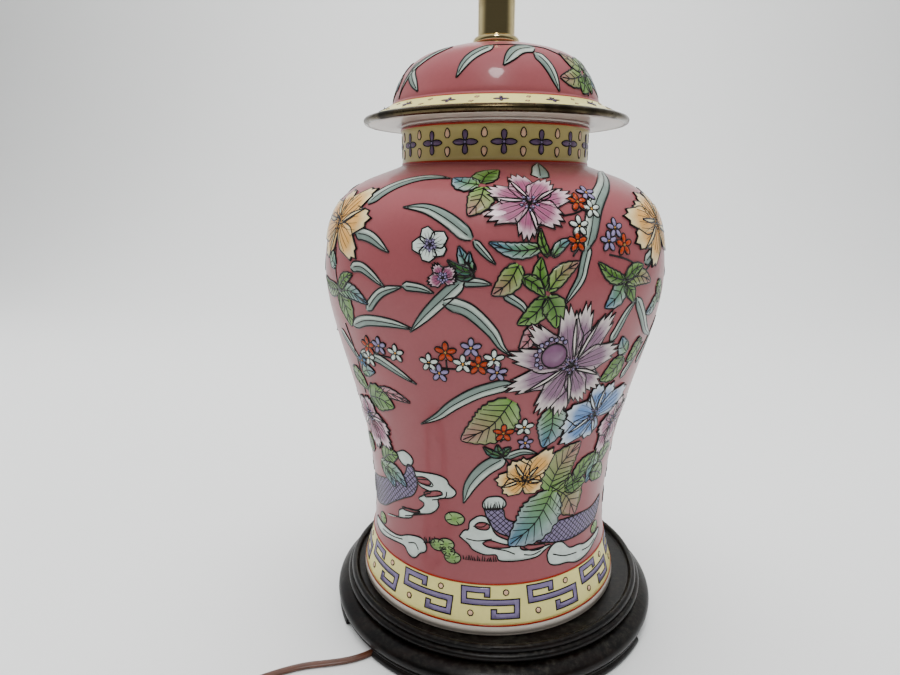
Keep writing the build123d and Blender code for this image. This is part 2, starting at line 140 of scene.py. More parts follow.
def tarnishGroup():
    # polished metal: brown bloom in patches, fine dark specks and turning lines
    group, source, result = newGroup(
        "tarnish",
        [("Metal", "NodeSocketColor", (1, 1, 1, 1)), ("Bloom", "NodeSocketColor", (0.1, 0.08, 0.05, 1)),
         ("Amount", "NodeSocketFloat", 0.4), ("Scale", "NodeSocketFloat", 60.0), ("Polish", "NodeSocketFloat", 0.15)],
        [("Color", "NodeSocketColor"), ("Roughness", "NodeSocketFloat"), ("Height", "NodeSocketFloat")],
    )
    place = addNode(group, "TexCoord").outputs["Object"]
    cloud = addNode(group, "TexNoise", {"Vector": place, "Scale": source.outputs["Scale"], "Detail": 6.0})
    speck = addNode(group, "TexNoise", {"Vector": place, "Scale": 900.0, "Detail": 2.0})
    mask = rampOf(group, cloud.outputs["Fac"], 0.42, 0.72)
    spots = rampOf(group, speck.outputs["Fac"], 0.62, 0.74)
    total = addNode(group, "Math", {0: spots, 1: 0.5, 2: mask}, operation="MULTIPLY_ADD").outputs[0]
    amount = addNode(group, "Math", {0: total, 1: source.outputs["Amount"]}, operation="MULTIPLY", use_clamp=True)
    colour = mixColour(group, amount.outputs[0], source.outputs["Metal"], source.outputs["Bloom"])
    group.links.new(colour, result.inputs["Color"])
    rough = addNode(group, "Math", {0: amount.outputs[0], 1: 0.35, 2: source.outputs["Polish"]}, operation="MULTIPLY_ADD")
    group.links.new(rough.outputs[0], result.inputs["Roughness"])
    stretch = addNode(group, "Mapping", {"Vector": place, "Scale": (1.0, 1.0, 60.0)}).outputs[0]
    lines = addNode(group, "TexNoise", {"Vector": stretch, "Scale": 40.0, "Detail": 2.0})
    group.links.new(lines.outputs["Fac"], result.inputs["Height"])
    return group


def dustGroup():
    # settles on faces that look up, in patches and grains
    group, source, result = newGroup(
        "dust",
        [("Color", "NodeSocketColor", (0, 0, 0, 1)), ("Dust", "NodeSocketColor", (0.3, 0.28, 0.24, 1)),
         ("Amount", "NodeSocketFloat", 0.5)],
        [("Color", "NodeSocketColor"), ("Mask", "NodeSocketFloat")],
    )
    place = addNode(group, "TexCoord").outputs["Object"]
    facing = addNode(group, "SeparateXYZ", {0: addNode(group, "NewGeometry").outputs["Normal"]}).outputs[2]
    up = rampOf(group, facing, 0.35, 1.0)
    flock = addNode(group, "TexNoise", {"Vector": place, "Scale": 260.0, "Detail": 8.0, "Roughness": 0.7})
    drift = addNode(group, "TexNoise", {"Vector": place, "Scale": 26.0, "Detail": 3.0})
    grain = rampOf(group, flock.outputs["Fac"], 0.42, 0.72)
    patch = rampOf(group, drift.outputs["Fac"], 0.30, 0.66)
    lay = addNode(group, "Math", {0: grain, 1: patch}, operation="MULTIPLY").outputs[0]
    mask = addNode(group, "Math", {0: lay, 1: up}, operation="MULTIPLY").outputs[0]
    mask = addNode(group, "Math", {0: mask, 1: source.outputs["Amount"]}, operation="MULTIPLY", use_clamp=True)
    mixed = mixColour(group, mask.outputs[0], source.outputs["Color"], source.outputs["Dust"])
    group.links.new(mixed, result.inputs["Color"])
    group.links.new(mask.outputs[0], result.inputs["Mask"])
    return group


groups = {"glaze": glazeGroup(), "tarnish": tarnishGroup(), "dust": dustGroup()}


def placeGroup(tree, name, **values):
    node = tree.nodes.new("ShaderNodeGroup")
    node.node_tree = groups[name]
    for key, value in values.items():
        socket = node.inputs[key.replace("_", " ")]
        if isinstance(value, bpy.types.NodeSocket):
            tree.links.new(value, socket)
        else:
            socket.default_value = value
    return node


def newMaterial(name, **constants):
    material = bpy.data.materials.new(name)
    material.use_nodes = True
    shader = material.node_tree.nodes["Principled BSDF"]
    for key, value in constants.items():
        shader.inputs[key.replace("_", " ")].default_value = value
    return material, material.node_tree, shader


def bumpInto(tree, shader, height, strength, distance):
    bump = addNode(tree, "Bump", {"Height": height, "Strength": strength, "Distance": distance})
    tree.links.new(bump.outputs[0], shader.inputs["Normal"])


def glazeMaterial(name, tint=None, cloudiness=0.12, patchScale=30.0, pits=0.3, coat=0.7, bump=0.25):
    # tint None reads the piece's own tint attribute
    material, tree, shader = newMaterial(name, Coat_Weight=coat, Coat_Roughness=0.06, Specular_IOR_Level=0.12)
    if tint is None:
        tint = addNode(tree, "Attribute", attribute_name="tint").outputs["Color"]
    glaze = placeGroup(tree, "glaze", Tint=tint, Cloudiness=cloudiness, Patch_Scale=patchScale, Pits=pits)
    tree.links.new(glaze.outputs["Color"], shader.inputs["Base Color"])
    tree.links.new(glaze.outputs["Roughness"], shader.inputs["Roughness"])
    bumpInto(tree, shader, glaze.outputs["Height"], bump, 0.0006)
    return material


def metalMaterial(name, metal, bloom, amount, scale=60.0, polish=0.15, bump=0.05):
    material, tree, shader = newMaterial(name, Metallic=1.0)
    finish = placeGroup(tree, "tarnish", Metal=metal, Bloom=bloom, Amount=amount, Scale=scale, Polish=polish)
    tree.links.new(finish.outputs["Color"], shader.inputs["Base Color"])
    tree.links.new(finish.outputs["Roughness"], shader.inputs["Roughness"])
    bumpInto(tree, shader, finish.outputs["Height"], bump, 0.0002)
    return material


def woodMaterial():
    # dark stained hardwood: long grain round the turning, pores, wax and dust
    material, tree, shader = newMaterial("stainedWood", Coat_Weight=0.06, Coat_Roughness=0.30, Specular_IOR_Level=0.18)
    place = addNode(tree, "TexCoord").outputs["Object"]
    along = addNode(tree, "Mapping", {"Vector": place, "Scale": (9.0, 60.0, 60.0)}).outputs[0]
    figure = addNode(tree, "TexNoise", {"Vector": along, "Scale": 2.2, "Detail": 8.0, "Distortion": 0.8})
    pores = addNode(tree, "Mapping", {"Vector": place, "Scale": (70.0, 900.0, 900.0)}).outputs[0]
    pore = addNode(tree, "TexNoise", {"Vector": pores, "Scale": 1.0, "Detail": 3.0})
    streak = rampOf(tree, figure.outputs["Fac"], 0.35, 0.70)
    base = mixColour(tree, streak, tone(9, 7, 7), tone(24, 17, 15))
    dark = rampOf(tree, pore.outputs["Fac"], 0.55, 0.70)
    base = mixColour(tree, dark, base, tone(5, 4, 4))
    dusty = placeGroup(tree, "dust", Color=base, Dust=tone(86, 84, 74), Amount=0.30)
    tree.links.new(dusty.outputs["Color"], shader.inputs["Base Color"])
    rough = addNode(tree, "Math", {0: dusty.outputs["Mask"], 1: 0.5, 2: 0.36}, operation="MULTIPLY_ADD").outputs[0]
    tree.links.new(rough, shader.inputs["Roughness"])
    bumpInto(tree, shader, pore.outputs["Fac"], 0.25, 0.0003)
    return material


def plasticMaterial(name, colour, roughness, grainScale=1400.0, coat=0.0, dusty=0.0):
    material, tree, shader = newMaterial(name, Coat_Weight=coat, Coat_Roughness=0.2)
    place = addNode(tree, "TexCoord").outputs["Object"]
    grain = addNode(tree, "TexNoise", {"Vector": place, "Scale": grainScale, "Detail": 2.0})
    smear = addNode(tree, "TexNoise", {"Vector": place, "Scale": 90.0, "Detail": 4.0})
    shade = rampOf(tree, smear.outputs["Fac"], 0.3, 0.7)
    lighter = tuple(min(1.0, v * 1.35) for v in colour[:3]) + (1.0,)
    mixed = placeGroup(tree, "dust", Color=mixColour(tree, shade, colour, lighter), Dust=tone(120, 112, 102), Amount=dusty)
    tree.links.new(mixed.outputs["Color"], shader.inputs["Base Color"])
    rough = addNode(tree, "Math", {0: smear.outputs["Fac"], 1: 0.16, 2: roughness}, operation="MULTIPLY_ADD").outputs[0]
    tree.links.new(rough, shader.inputs["Roughness"])
    bumpInto(tree, shader, grain.outputs["Fac"], 0.12, 0.0002)
    return material


finishes = {
    "groundPink": glazeMaterial("groundPink", tone(144, 79, 83), 0.14, 26.0, 0.35, 0.24, 0.40),
    "enamel": glazeMaterial("enamel", None, 0.40, 170.0, 0.15, 0.35, 0.35),
    "band": glazeMaterial("bandYellow", tone(226, 216, 134), 0.22, 60.0, 0.4, 0.25, 0.3),
    # the neck band is the same yellow as the other bands, made darker here as painted shade from the lid above it
    "neckBand": glazeMaterial("bandYellowPaintedShade", tone(178, 164, 106), 0.30, 60.0, 0.5, 0.30, 0.3),
    "ironRed": glazeMaterial("ironRed", tone(150, 44, 20), 0.30, 90.0, 0.2, 0.3, 0.2),
    "bareWhite": glazeMaterial("footWhite", tone(200, 190, 178), 0.20, 50.0, 0.8, 0.25, 0.3),
    "ink": glazeMaterial("ink", tone(24, 19, 20), 0.20, 90.0, 0.0, 0.25, 0.1),
    "gilt": metalMaterial("gilt", tone(84, 74, 54), tone(34, 29, 21), 0.95, 45.0, 0.20),
    "brass": metalMaterial("polishedBrass", tone(226, 206, 150), tone(120, 96, 56), 0.30, 60.0, 0.10),
    "socketBrass": metalMaterial("lacqueredBrass", tone(228, 200, 132), tone(140, 110, 60), 0.25, 40.0, 0.20),
    "zinc": metalMaterial("zincSteel", tone(190, 190, 186), tone(110, 104, 96), 0.35, 80.0, 0.30),
    "aluminium": metalMaterial("screwAluminium", tone(220, 220, 222), tone(150, 150, 150), 0.2, 80.0, 0.22),
    "wood": woodMaterial(),
    "cord": plasticMaterial("brownCord", tone(74, 44, 30), 0.30, coat=0.3),
    "black": plasticMaterial("blackMoulding", tone(28, 27, 27), 0.42),
    "nylon": plasticMaterial("clipNylon", tone(214, 208, 194), 0.45),
    "card": plasticMaterial("fibreCard", tone(128, 100, 66), 0.75, 500.0),
}
nodeFinish = {
    "groundPink": ["jar_body", "lid"],
    "wood": ["stand_top", "stand_base"] + [f"stand_foot_{n}" for n in range(1, 7)],
    "brass": ["vase_cap", "neck_tube", "neck_cap", "finial"],
    "socketBrass": ["socket_cap", "socket_shell", "harp_saddle", "harp_wire", "harp_plate", "harp_stud",
                    "harp_sleeve_left", "harp_sleeve_right", "rim_contact", "cap_set_screw"],
    "zinc": ["threaded_rod", "base_washer", "lock_washer", "base_nut", "rod_nut", "switch_shaft", "clip_screw",
             "centre_contact", "plug_blade_1", "plug_blade_2"],
    "aluminium": ["screw_shell"],
    "card": ["shell_liner"],
    "black": ["socket_core", "switch_knob"],
    "nylon": ["cord_clip"],
    "cord": ["lead_inside", "plug_body"],
}
for finish, nodes in nodeFinish.items():
    for node in nodes:
        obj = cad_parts[node]
        obj.data.materials.clear()
        obj.data.materials.append(finishes[finish])
print("materials made")


def closeShell(bm, thickness):
    # gives open sheets a back, sunk into the glaze, and a rim all round
    bm.normal_update()
    made = bmesh.ops.extrude_face_region(bm, geom=bm.faces[:])["geom"]
    for vert in made:
        if isinstance(vert, bmesh.types.BMVert):
            vert.co -= vert.normal * thickness


def addPiece(name, bm, material, body="root", shell=0.0, smooth=True):
    if shell:
        closeShell(bm, shell * mm)
    bmesh.ops.recalc_face_normals(bm, faces=bm.faces[:])
    mesh = bpy.data.meshes.new(name)
    bm.to_mesh(mesh)
    bm.free()
    mesh.polygons.foreach_set("use_smooth", [smooth] * len(mesh.polygons))
    obj = bpy.data.objects.new(name, mesh)
    bpy.context.scene.collection.objects.link(obj)
    mesh.materials.append(finishes[material])
    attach(obj, body)
    return obj


cord = {
    "length": 1.8, "width": 5.4, "thickness": 2.8, "floor": 1.5,
    "coilMiddle": (-165.0, -178.0), "coilRadii": (35.4, 30.0, 24.6), "layer": 2.9, "turns": 8.2, "pointsPerTurn": 14,
    "exit": (-51.04, -51.8, 8.0),
    # out of the clip, down to the table, through the gap and round to the coil
    "route": [
        (-51.04, -51.8, 8.0), (-57.1, -58.5, 6.6), (-65.2, -67.3, 2.0), (-75.4, -79.6, 1.5), (-86.2, -90.4, 1.5),
        (-99.0, -97.6, 1.5), (-113.8, -101.6, 1.5), (-129.2, -104.8, 1.5), (-144.0, -111.4, 1.5),
        (-158.6, -120.0, 1.5), (-172.0, -130.6, 1.5), (-183.2, -143.6, 1.5), (-192.4, -158.6, 1.5),
    ],
    "tail": [(-137.0, -199.4, 6.0), (-127.6, -194.8, 4.4), (-118.4, -191.0, 5.0), (-110.0, -187.0, 6.4)],
}


def coilPoints():
    # in from the outside on the table, then out, then in again, a layer higher each time
    middleX, middleY = cord["coilMiddle"]
    radii = cord["coilRadii"]
    order = [radii[0], radii[1], radii[2], radii[2], radii[1], radii[0], radii[0], radii[1], radii[2]]
    points = []
    count = int(cord["turns"] * cord["pointsPerTurn"])
    for index in range(1, count + 1):
        turn = index / cord["pointsPerTurn"]
        whole = min(int(turn), len(order) - 2)
        part = max(0.0, (turn - whole - 0.7) / 0.3)
        radius = order[whole] * (1 - part) + order[whole + 1] * part
        layer = min(2.0, whole // 3 + (part if whole % 3 == 2 else 0.0))
        angle = math.radians(180) + 2 * math.pi * turn
        height = cord["floor"] + cord["layer"] * layer
        points.append((middleX + radius * math.cos(angle), middleY + radius * math.sin(angle), height))
    return points


def splinePoints(points):
    # the points of a smooth line through the route's control points, from the curve itself
    curve = bpy.data.curves.new("cordLine", "CURVE")
    curve.dimensions = "3D"
    curve.resolution_u = 6
    spline = curve.splines.new("NURBS")
    spline.points.add(len(points) - 1)
    for slot, point in zip(spline.points, points):
        slot.co = (point[0] * mm, point[1] * mm, point[2] * mm, 1.0)
    spline.order_u = 3
    spline.use_endpoint_u = True
    obj = bpy.data.objects.new("cordLine", curve)
    mesh = bpy.data.meshes.new_from_object(obj)
    line = [vert.co.copy() for vert in mesh.vertices]
    bpy.data.objects.remove(obj)
    return line


def twinSection():
    # outline of a flat two-core cord: two lobes with a groove between, as (across, up)
    half, lobe = cord["width"] / 2, cord["thickness"] / 2
    centre = half - lobe
    outline = []
    for step in range(16):
        angle = 2 * math.pi * step / 16 + math.pi / 16
        side = 1 if math.cos(angle) > 0 else -1
        outline.append((side * centre + lobe * math.cos(angle), lobe * math.sin(angle)))
    return [(x, y * (0.72 if abs(x) < 0.5 else 1.0)) for x, y in outline]


def sweepSection(bm, line, section):
    rings = []
    for index, point in enumerate(line):
        ahead = (line[min(index + 1, len(line) - 1)] - line[max(index - 1, 0)]).normalized()
        across = ahead.cross(Vector((0, 0, 1))).normalized()
        up = across.cross(ahead)
        rings.append([bm.verts.new(point + across * x * mm + up * y * mm) for x, y in section])
    for first, second in zip(rings, rings[1:]):
        for n in range(len(section)):
            m = (n + 1) % len(section)
            bm.faces.new((first[n], first[m], second[m], second[n]))
    bm.faces.new(rings[0])
    bm.faces.new(rings[-1])


def makeCord():
    points = cord["route"] + coilPoints() + cord["tail"]
    line = splinePoints(points)
    bm = bmesh.new()
    sweepSection(bm, line, twinSection())
    piece = addPiece("flatCord", bm, "cord")
    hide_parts("cord_run", "cord_coil", "cord_tail")
    exitPoint = [v * mm for v in cord["exit"]]
    [tuple(p) for p in line]


makeCord()
print("cord laid")

room = {"half": 3.0, "bendStart": 1.0, "bendRadius": 1.1, "height": 2.6, "steps": 14, "tone": tone(232, 233, 232)}


def makeRoom():
    # a pale floor that sweeps up into a wall behind
    bm = bmesh.new()
    edge = [bm.verts.new((x, -room["half"], 0)) for x in (-room["half"], room["half"])]
    front = bm.edges.new(edge)
    places = [(room["bendStart"], 0.0)]
    for n in range(1, room["steps"] + 1):
        turn = math.pi / 2 * n / room["steps"]
        places.append((room["bendStart"] + room["bendRadius"] * math.sin(turn), room["bendRadius"] * (1 - math.cos(turn))))
    places.append((room["bendStart"] + room["bendRadius"], room["height"]))
    for y, z in places:
        made = bmesh.ops.extrude_edge_only(bm, edges=[front])["geom"]
        front = next(item for item in made if isinstance(item, bmesh.types.BMEdge))
        for vert in front.verts:
            vert.co.y, vert.co.z = y, z
    bmesh.ops.recalc_face_normals(bm, faces=bm.faces[:])
    mesh = bpy.data.meshes.new("floor")
    bm.to_mesh(mesh)
    bm.free()
    mesh.polygons.foreach_set("use_smooth", [True] * len(mesh.polygons))
    obj = bpy.data.objects.new("floor", mesh)
    bpy.context.scene.collection.objects.link(obj)
    material, tree, shader = newMaterial("paleFloor", Roughness=0.75)
    shader.inputs["Base Color"].default_value = room["tone"]
    mesh.materials.append(material)


lights = {
    "key": {"place": (-0.15, -1.1, 1.9), "aim": (0, 0, 0.25), "size": 1.3, "power": 22, "glossy": False},
    "glint": {"place": (0.02, -1.1, 1.9), "aim": (0, 0, 0.25), "size": 0.42, "power": 16, "glossy": True, "diffuse": False},
    "fill": {"place": (1.6, -0.9, 1.2), "aim": (0, 0, 0.25), "size": 1.4, "power": 6, "glossy": False},
    "side": {"place": (-1.5, 0.3, 0.9), "aim": (0, 0, 0.25), "size": 1.2, "power": 7, "glossy": False},
    "wall": {"place": (0, 0.5, 2.4), "aim": (0, 1.9, 0.4), "size": 2.2, "power": 84, "glossy": False},
}
# light from the room: dim behind the camera, bright overhead and behind the object
sky = {"front": (0.10, 0.10, 0.10, 1), "back": (0.90, 0.92, 0.94, 1), "turn": (-0.25, 0.75), "strength": 0.85}


def makeLights():
    for name, light in lights.items():
        data = bpy.data.lights.new(name, "AREA")
        data.shape, data.size, data.energy = "DISK", light["size"], light["power"]
        obj = bpy.data.objects.new(name, data)
        obj.location = light["place"]
        obj.rotation_euler = (Vector(light["aim"]) - obj.location).to_track_quat("-Z", "Y").to_euler()
        obj.visible_glossy = light["glossy"]
        obj.visible_diffuse = light.get("diffuse", True)
        bpy.context.scene.collection.objects.link(obj)
    world = bpy.data.worlds.new("room")
    world.use_nodes = True
    tree = world.node_tree
    way = addNode(tree, "SeparateXYZ", {0: addNode(tree, "TexCoord").outputs["Generated"]})
    lean = addNode(tree, "Math", {0: way.outputs[2], 1: 0.9, 2: way.outputs[1]}, operation="MULTIPLY_ADD").outputs[0]
    mixed = mixColour(tree, rampOf(tree, lean, *sky["turn"]), sky["front"], sky["back"])
    background = tree.nodes["Background"]
    tree.links.new(mixed, background.inputs["Color"])
    background.inputs["Strength"].default_value = sky["strength"]
    bpy.context.scene.world = world


makeRoom()
makeLights()
print("room made")

# The outside of a turned node, as points up its side found by casting rays at its axis.
jarBox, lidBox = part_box("jar_body"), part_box("lid")
axisX, axisY = (jarBox[0][0] + jarBox[1][0]) / 2, (jarBox[0][1] + jarBox[1][1]) / 2


def treeOf(node):
    bm = bmesh.new()
    bm.from_mesh(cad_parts[node].data)
    tree = BVHTree.FromBMesh(bm)
    bm.free()
    return tree


def makeLine(node, rays):
    tree = treeOf(node)
    hits = [tree.ray_cast(Vector(start), Vector(way))[0] for start, way in rays]
    points = [Vector((hit.x - axisX, hit.z)) / mm for hit in hits if hit]
    line = {"points": points, "along": [0.0], "normals": []}
    for first, second in zip(points, points[1:]):
        line["along"].append(line["along"][-1] + (second - first).length)
    for index in range(len(points)):
        way = (points[min(index + 1, len(points) - 1)] - points[max(index - 1, 0)]).normalized()
        line["normals"].append(Vector((way.y, -way.x)))
    return line


def jarRays(low, high, step):
    count = int((high - low) / step)
    return [((axisX + 0.3, axisY, low + (high - low) * n / count), (-1, 0, 0)) for n in range(count + 1)]


def lidRays(centreZ, first, last, step):
    rays = []
    for n in range(int((last - first) / step) + 1):
        tilt = math.radians(first + n * step)
        way = Vector((math.cos(tilt), 0, math.sin(tilt)))
        rays.append((Vector((axisX, axisY, centreZ)) + way * 0.4, -way))
    return rays


jarLine = makeLine("jar_body", jarRays(jarBox[0][2] + 0.0025, jarBox[1][2] - 0.0003, 0.0015))
seam = jarBox[1][2]
lidLine = makeLine("lid", lidRays(seam - 0.020, 16.0, 76.5, 0.5))
print("surface measured", round(jarLine["along"][-1]), round(lidLine["along"][-1]), "mm")


def spanAt(line, along):
    along = min(max(along, 0.0), line["along"][-1])
    index = min(bisect.bisect_right(line["along"], along), len(line["along"]) - 1)
    low, high = line["along"][index - 1], line["along"][index]
    return index, (along - low) / (high - low)


def radiusAt(line, along):
    index, part = spanAt(line, along)
    return line["points"][index - 1].lerp(line["points"][index], part).x


def place(line, angle, along, lift=0.0):
    # angle in degrees to the right of the front, along in mm up the side, lift in mm off it
    index, part = spanAt(line, along)
    point = line["points"][index - 1].lerp(line["points"][index], part)
    point = point + line["normals"][index - 1].lerp(line["normals"][index], part) * lift
    turn = math.radians(angle)
    return Vector((axisX + point.x * mm * math.sin(turn), axisY - point.x * mm * math.cos(turn), point.y * mm))


# A brush holds what one area of painting is made of. Flat points are (across, up) in mm about its middle.
def newBrush(line, offset=0.0, mirror=1, lift=0.30):
    brush = {"line": line, "offset": offset, "mirror": mirror, "lift": lift, "around": 0.0}
    brush["fill"], brush["ink"] = bmesh.new(), bmesh.new()
    brush["fill"].verts.layers.float_color.new("tint")
    return brush


def centreOn(brush, spots):
    # flat points of spots given as (angle, along), about the middle of them
    turned = [(brush["offset"] + brush["mirror"] * angle, along) for angle, along in spots]
    brush["around"] = sum(angle for angle, along in turned) / len(turned)
    flat = []
    for angle, along in turned:
        flat.append(Vector((math.radians(angle - brush["around"]) * radiusAt(brush["line"], along), along)))
    return flat


def layDown(brush, bm, verts, flatOf):
    # moves verts onto the surface, and turns their faces outwards
    for vert in verts:
        spot, lift = flatOf(vert)
        angle = brush["around"] + math.degrees(spot.x / radiusAt(brush["line"], spot.y))
        vert.co = place(brush["line"], angle, spot.y, lift)
    faces = list({face for vert in verts for face in vert.link_faces})
    for face in faces:
        face.normal_update()
    middle = faces[len(faces) // 2]
    centre = middle.calc_center_median()
    out = Vector((centre.x - axisX, centre.y - axisY, 0)).normalized() + Vector((0, 0, 0.4))
    if middle.normal.dot(out) < 0:
        bmesh.ops.reverse_faces(bm, faces=faces)


def smoothPath(points, count):
    # count + 1 evenly spaced places on a smooth line through the points, each with the way across
    if len(points) == 2:
        dense = [points[0].lerp(points[1], n / 16) for n in range(17)]
    else:
        ends = [points[0] * 2 - points[1]] + list(points) + [points[-1] * 2 - points[-2]]
        dense = [Vector(points[0])]
        for a, b, c, d in zip(ends, ends[1:], ends[2:], ends[3:]):
            for n in range(1, 9):
                t = n / 8
                dense.append(0.5 * (2 * b + (c - a) * t + (2 * a - 5 * b + 4 * c - d) * t * t + (3 * b - 3 * c + d - a) * t ** 3))
    lengths = [0.0]
    for first, second in zip(dense, dense[1:]):
        lengths.append(lengths[-1] + (second - first).length)
    places = []
    for n in range(count + 1):
        want = lengths[-1] * n / count
        index = min(max(bisect.bisect_right(lengths, want), 1), len(lengths) - 1)
        gap = max(lengths[index] - lengths[index - 1], 1e-6)
        places.append(dense[index - 1].lerp(dense[index], (want - lengths[index - 1]) / gap))
    frames = []
    for n, spot in enumerate(places):
        way = (places[min(n + 1, count)] - places[max(n - 1, 0)]).normalized()
        frames.append((spot, Vector((-way.y, way.x))))
    return frames


inkPen = {"width": 0.95, "proud": 0.14, "step": 1.7}


def stroke(brush, points, width=None, smooth=True, fade=0.0, crown=0.0):
    # a raised dark line, just proud of the brush's enamel; fade thins it towards its end
    width = width or inkPen["width"]
    lift = brush["lift"] + crown + inkPen["proud"]
    length = sum((b - a).length for a, b in zip(points, points[1:]))
    count = max(2, int(length / inkPen["step"]))
    frames = smoothPath(points, count) if smooth else [(p, n) for p, n in cornerFrames(points)]
    count = len(frames) - 1
    made = bmesh.ops.create_grid(brush["ink"], x_segments=count, y_segments=1, size=1)["verts"]

    def flatOf(vert):
        index = round((vert.co.x + 1) / 2 * count)
        spot, across = frames[index]
        half = width / 2 * (1 - fade * index / count)
        return spot + across * half * (1 if vert.co.y > 0 else -1), lift

    layDown(brush, brush["ink"], made, flatOf)


def cornerFrames(points):
    # sharp corners kept: the way across is along each corner's mitre, and long runs are divided
    frames = []
    closed = (points[0] - points[-1]).length < 0.01
    ring = points[:-1] if closed else points
    for n, spot in enumerate(points):
        before = ring[(n - 1) % len(ring)] if closed or n else None
        after = ring[(n + 1) % len(ring)] if closed or n < len(points) - 1 else None
        ways = [(spot - before).normalized()] if before else []
        ways += [(after - spot).normalized()] if after else []
        normals = [Vector((-way.y, way.x)) for way in ways]
        across = sum(normals, Vector((0, 0))).normalized()
        across /= max(0.5, across.dot(normals[0]))
        if frames:
            gap = (spot - points[n - 1]).length
            cuts = int(gap / 4.0)
            side = Vector((-ways[0].y, ways[0].x))
            for cut in range(1, cuts):
                frames.append((points[n - 1].lerp(spot, cut / cuts), side))
        frames.append((spot, across))
    return frames


crownHeight = 0.12  # how far a leaf or petal swells in its middle, mm


def ribbon(brush, spine, half, colour, cells=(12, 4)):
    # a leaf or blade: half(t, side) is its half width, colour(t, side) its enamel
    count, across = cells
    frames = smoothPath(spine, count)
    bm = brush["fill"]
    tint = bm.verts.layers.float_color["tint"]
    made = bmesh.ops.create_grid(bm, x_segments=count, y_segments=across, size=1)["verts"]

    def flatOf(vert):
        index, side = round((vert.co.x + 1) / 2 * count), vert.co.y
        spot, normal = frames[index]
        vert[tint] = colour(index / count, side)
        return spot + normal * side * half(index / count, side), brush["lift"] + crownHeight * (1 - side * side)

    layDown(brush, bm, made, flatOf)
    for side in (-1, 1):
        stroke(brush, [spot + normal * side * half(n / count, side) for n, (spot, normal) in enumerate(frames)])
    return frames


def blendTone(first, second, part):
    part = min(max(part, 0.0), 1.0)
    return tuple(a + (b - a) * part for a, b in zip(first, second))


def cutPatch(brush, outline, colour, lift=None, cell=3.0):
    # a flat area with any outline, cut into cells so that it bends to the surface
    lift = brush["lift"] if lift is None else lift
    flat = bmesh.new()
    flat.faces.new([flat.verts.new((spot.x, spot.y, 0)) for spot in outline])
    for axis in (0, 1):
        low, high = min(p[axis] for p in outline), max(p[axis] for p in outline)
        normal = Vector((1, 0, 0)) if axis == 0 else Vector((0, 1, 0))
        for n in range(1, int((high - low) / cell) + 1):
            geom = flat.verts[:] + flat.edges[:] + flat.faces[:]
            bmesh.ops.bisect_plane(flat, geom=geom, plane_co=normal * (low + n * cell), plane_no=normal)
    bmesh.ops.triangulate(flat, faces=[face for face in flat.faces if len(face.verts) > 4])
    mesh = bpy.data.meshes.new("patch")
    flat.to_mesh(mesh)
    flat.free()
    bm = brush["fill"]
    tint = bm.verts.layers.float_color["tint"]
    before = len(bm.verts)
    bm.from_mesh(mesh)
    bpy.data.meshes.remove(mesh)
    bm.verts.ensure_lookup_table()
    made = bm.verts[before:]

    def flatOf(vert):
        vert[tint] = colour
        return vert.co.xy, lift

    layDown(brush, bm, made, flatOf)


def disc(brush, centre, long, wide, heading, colour, edge=None, pointed=0.0, pen=0.6, lift=0.0):
    # one dab of enamel, round or drawn to a point at its far end
    bm = brush["fill"]
    tint = bm.verts.layers.float_color["tint"]
    made = bmesh.ops.create_circle(bm, cap_ends=True, cap_tris=True, segments=12, radius=1)["verts"]
    way = Vector((math.cos(heading), math.sin(heading)))
    side = Vector((-way.y, way.x))

    def shape(x, y):
        squeeze = 1 - pointed * x / 2
        return centre + way * long * x + side * wide * y * squeeze

    def flatOf(vert):
        middle = vert.co.length < 0.5
        vert[tint] = colour if middle or edge is None else edge
        return shape(vert.co.x, vert.co.y), brush["lift"] + lift + (0.25 if middle else 0.0)

    layDown(brush, bm, made, flatOf)
    if pen:
        turns = [2 * math.pi * n / 12 for n in range(13)]
        stroke(brush, [shape(math.cos(t), math.sin(t)) for t in turns], width=pen, crown=lift)


enamel = {
    "bladePale": tone(190, 202, 190), "bladeDeep": tone(112, 130, 122),
    "green": tone(96, 138, 58), "deepGreen": tone(60, 96, 36), "paleGreen": tone(160, 186, 130),
    "leafBlue": tone(58, 104, 144), "leafPink": tone(164, 98, 106), "teal": tone(84, 136, 126),
    "mauve": tone(146, 74, 108), "mauveEdge": tone(226, 204, 208), "dusk": tone(124, 88, 116),
    "duskEdge": tone(216, 206, 200), "yellow": tone(216, 156, 72), "yellowEdge": tone(230, 212, 160),
    "blue": tone(84, 128, 186), "blueEdge": tone(206, 216, 222), "orange": tone(172, 60, 20),
    "lilac": tone(142, 130, 172), "white": tone(206, 218, 208), "cloud": tone(196, 208, 200),
    "basket": tone(126, 114, 148), "fret": tone(126, 114, 150), "peach": tone(226, 184, 150),
    "violet": tone(104, 84, 114), "ground": tone(144, 79, 83),
}


def addBlade(brush, spots, width, blunt=0.12):
    # a long grass blade, pale on one side of its vein
    pale, deep = enamel["bladePale"], enamel["bladeDeep"]
    spine = centreOn(brush, spots)
    length = sum((b - a).length for a, b in zip(spine, spine[1:]))

    def half(t, side):
        start = min(1.0, 0.25 + t / blunt)
        end = max(0.03, 1 - max(0.0, (t - 0.35) / 0.65) ** 2.2)
        return width / 2 * start * end * (1 + 0.05 * math.sin(9 * t + side))

    def colour(t, side):
        return blendTone(pale, deep, 0.95 if side < 0.2 else 0.35 - 0.35 * side)

    frames = ribbon(brush, spine, half, colour, cells=(max(8, int(length / 3)), 4))
    stroke(brush, [spot for spot, normal in frames[1:-1]], width=0.6, crown=crownHeight)


leafTones = {
    "green": ("deepGreen", "green", "paleGreen"), "blue": ("green", "leafBlue", "blueEdge"),
    "pink": ("green", "leafPink", "paleGreen"), "teal": ("teal", "paleGreen", "white"),
    "allPink": ("leafPink", "leafPink", "mauveEdge"), "dark": ("deepGreen", "deepGreen", "leafBlue"),
}


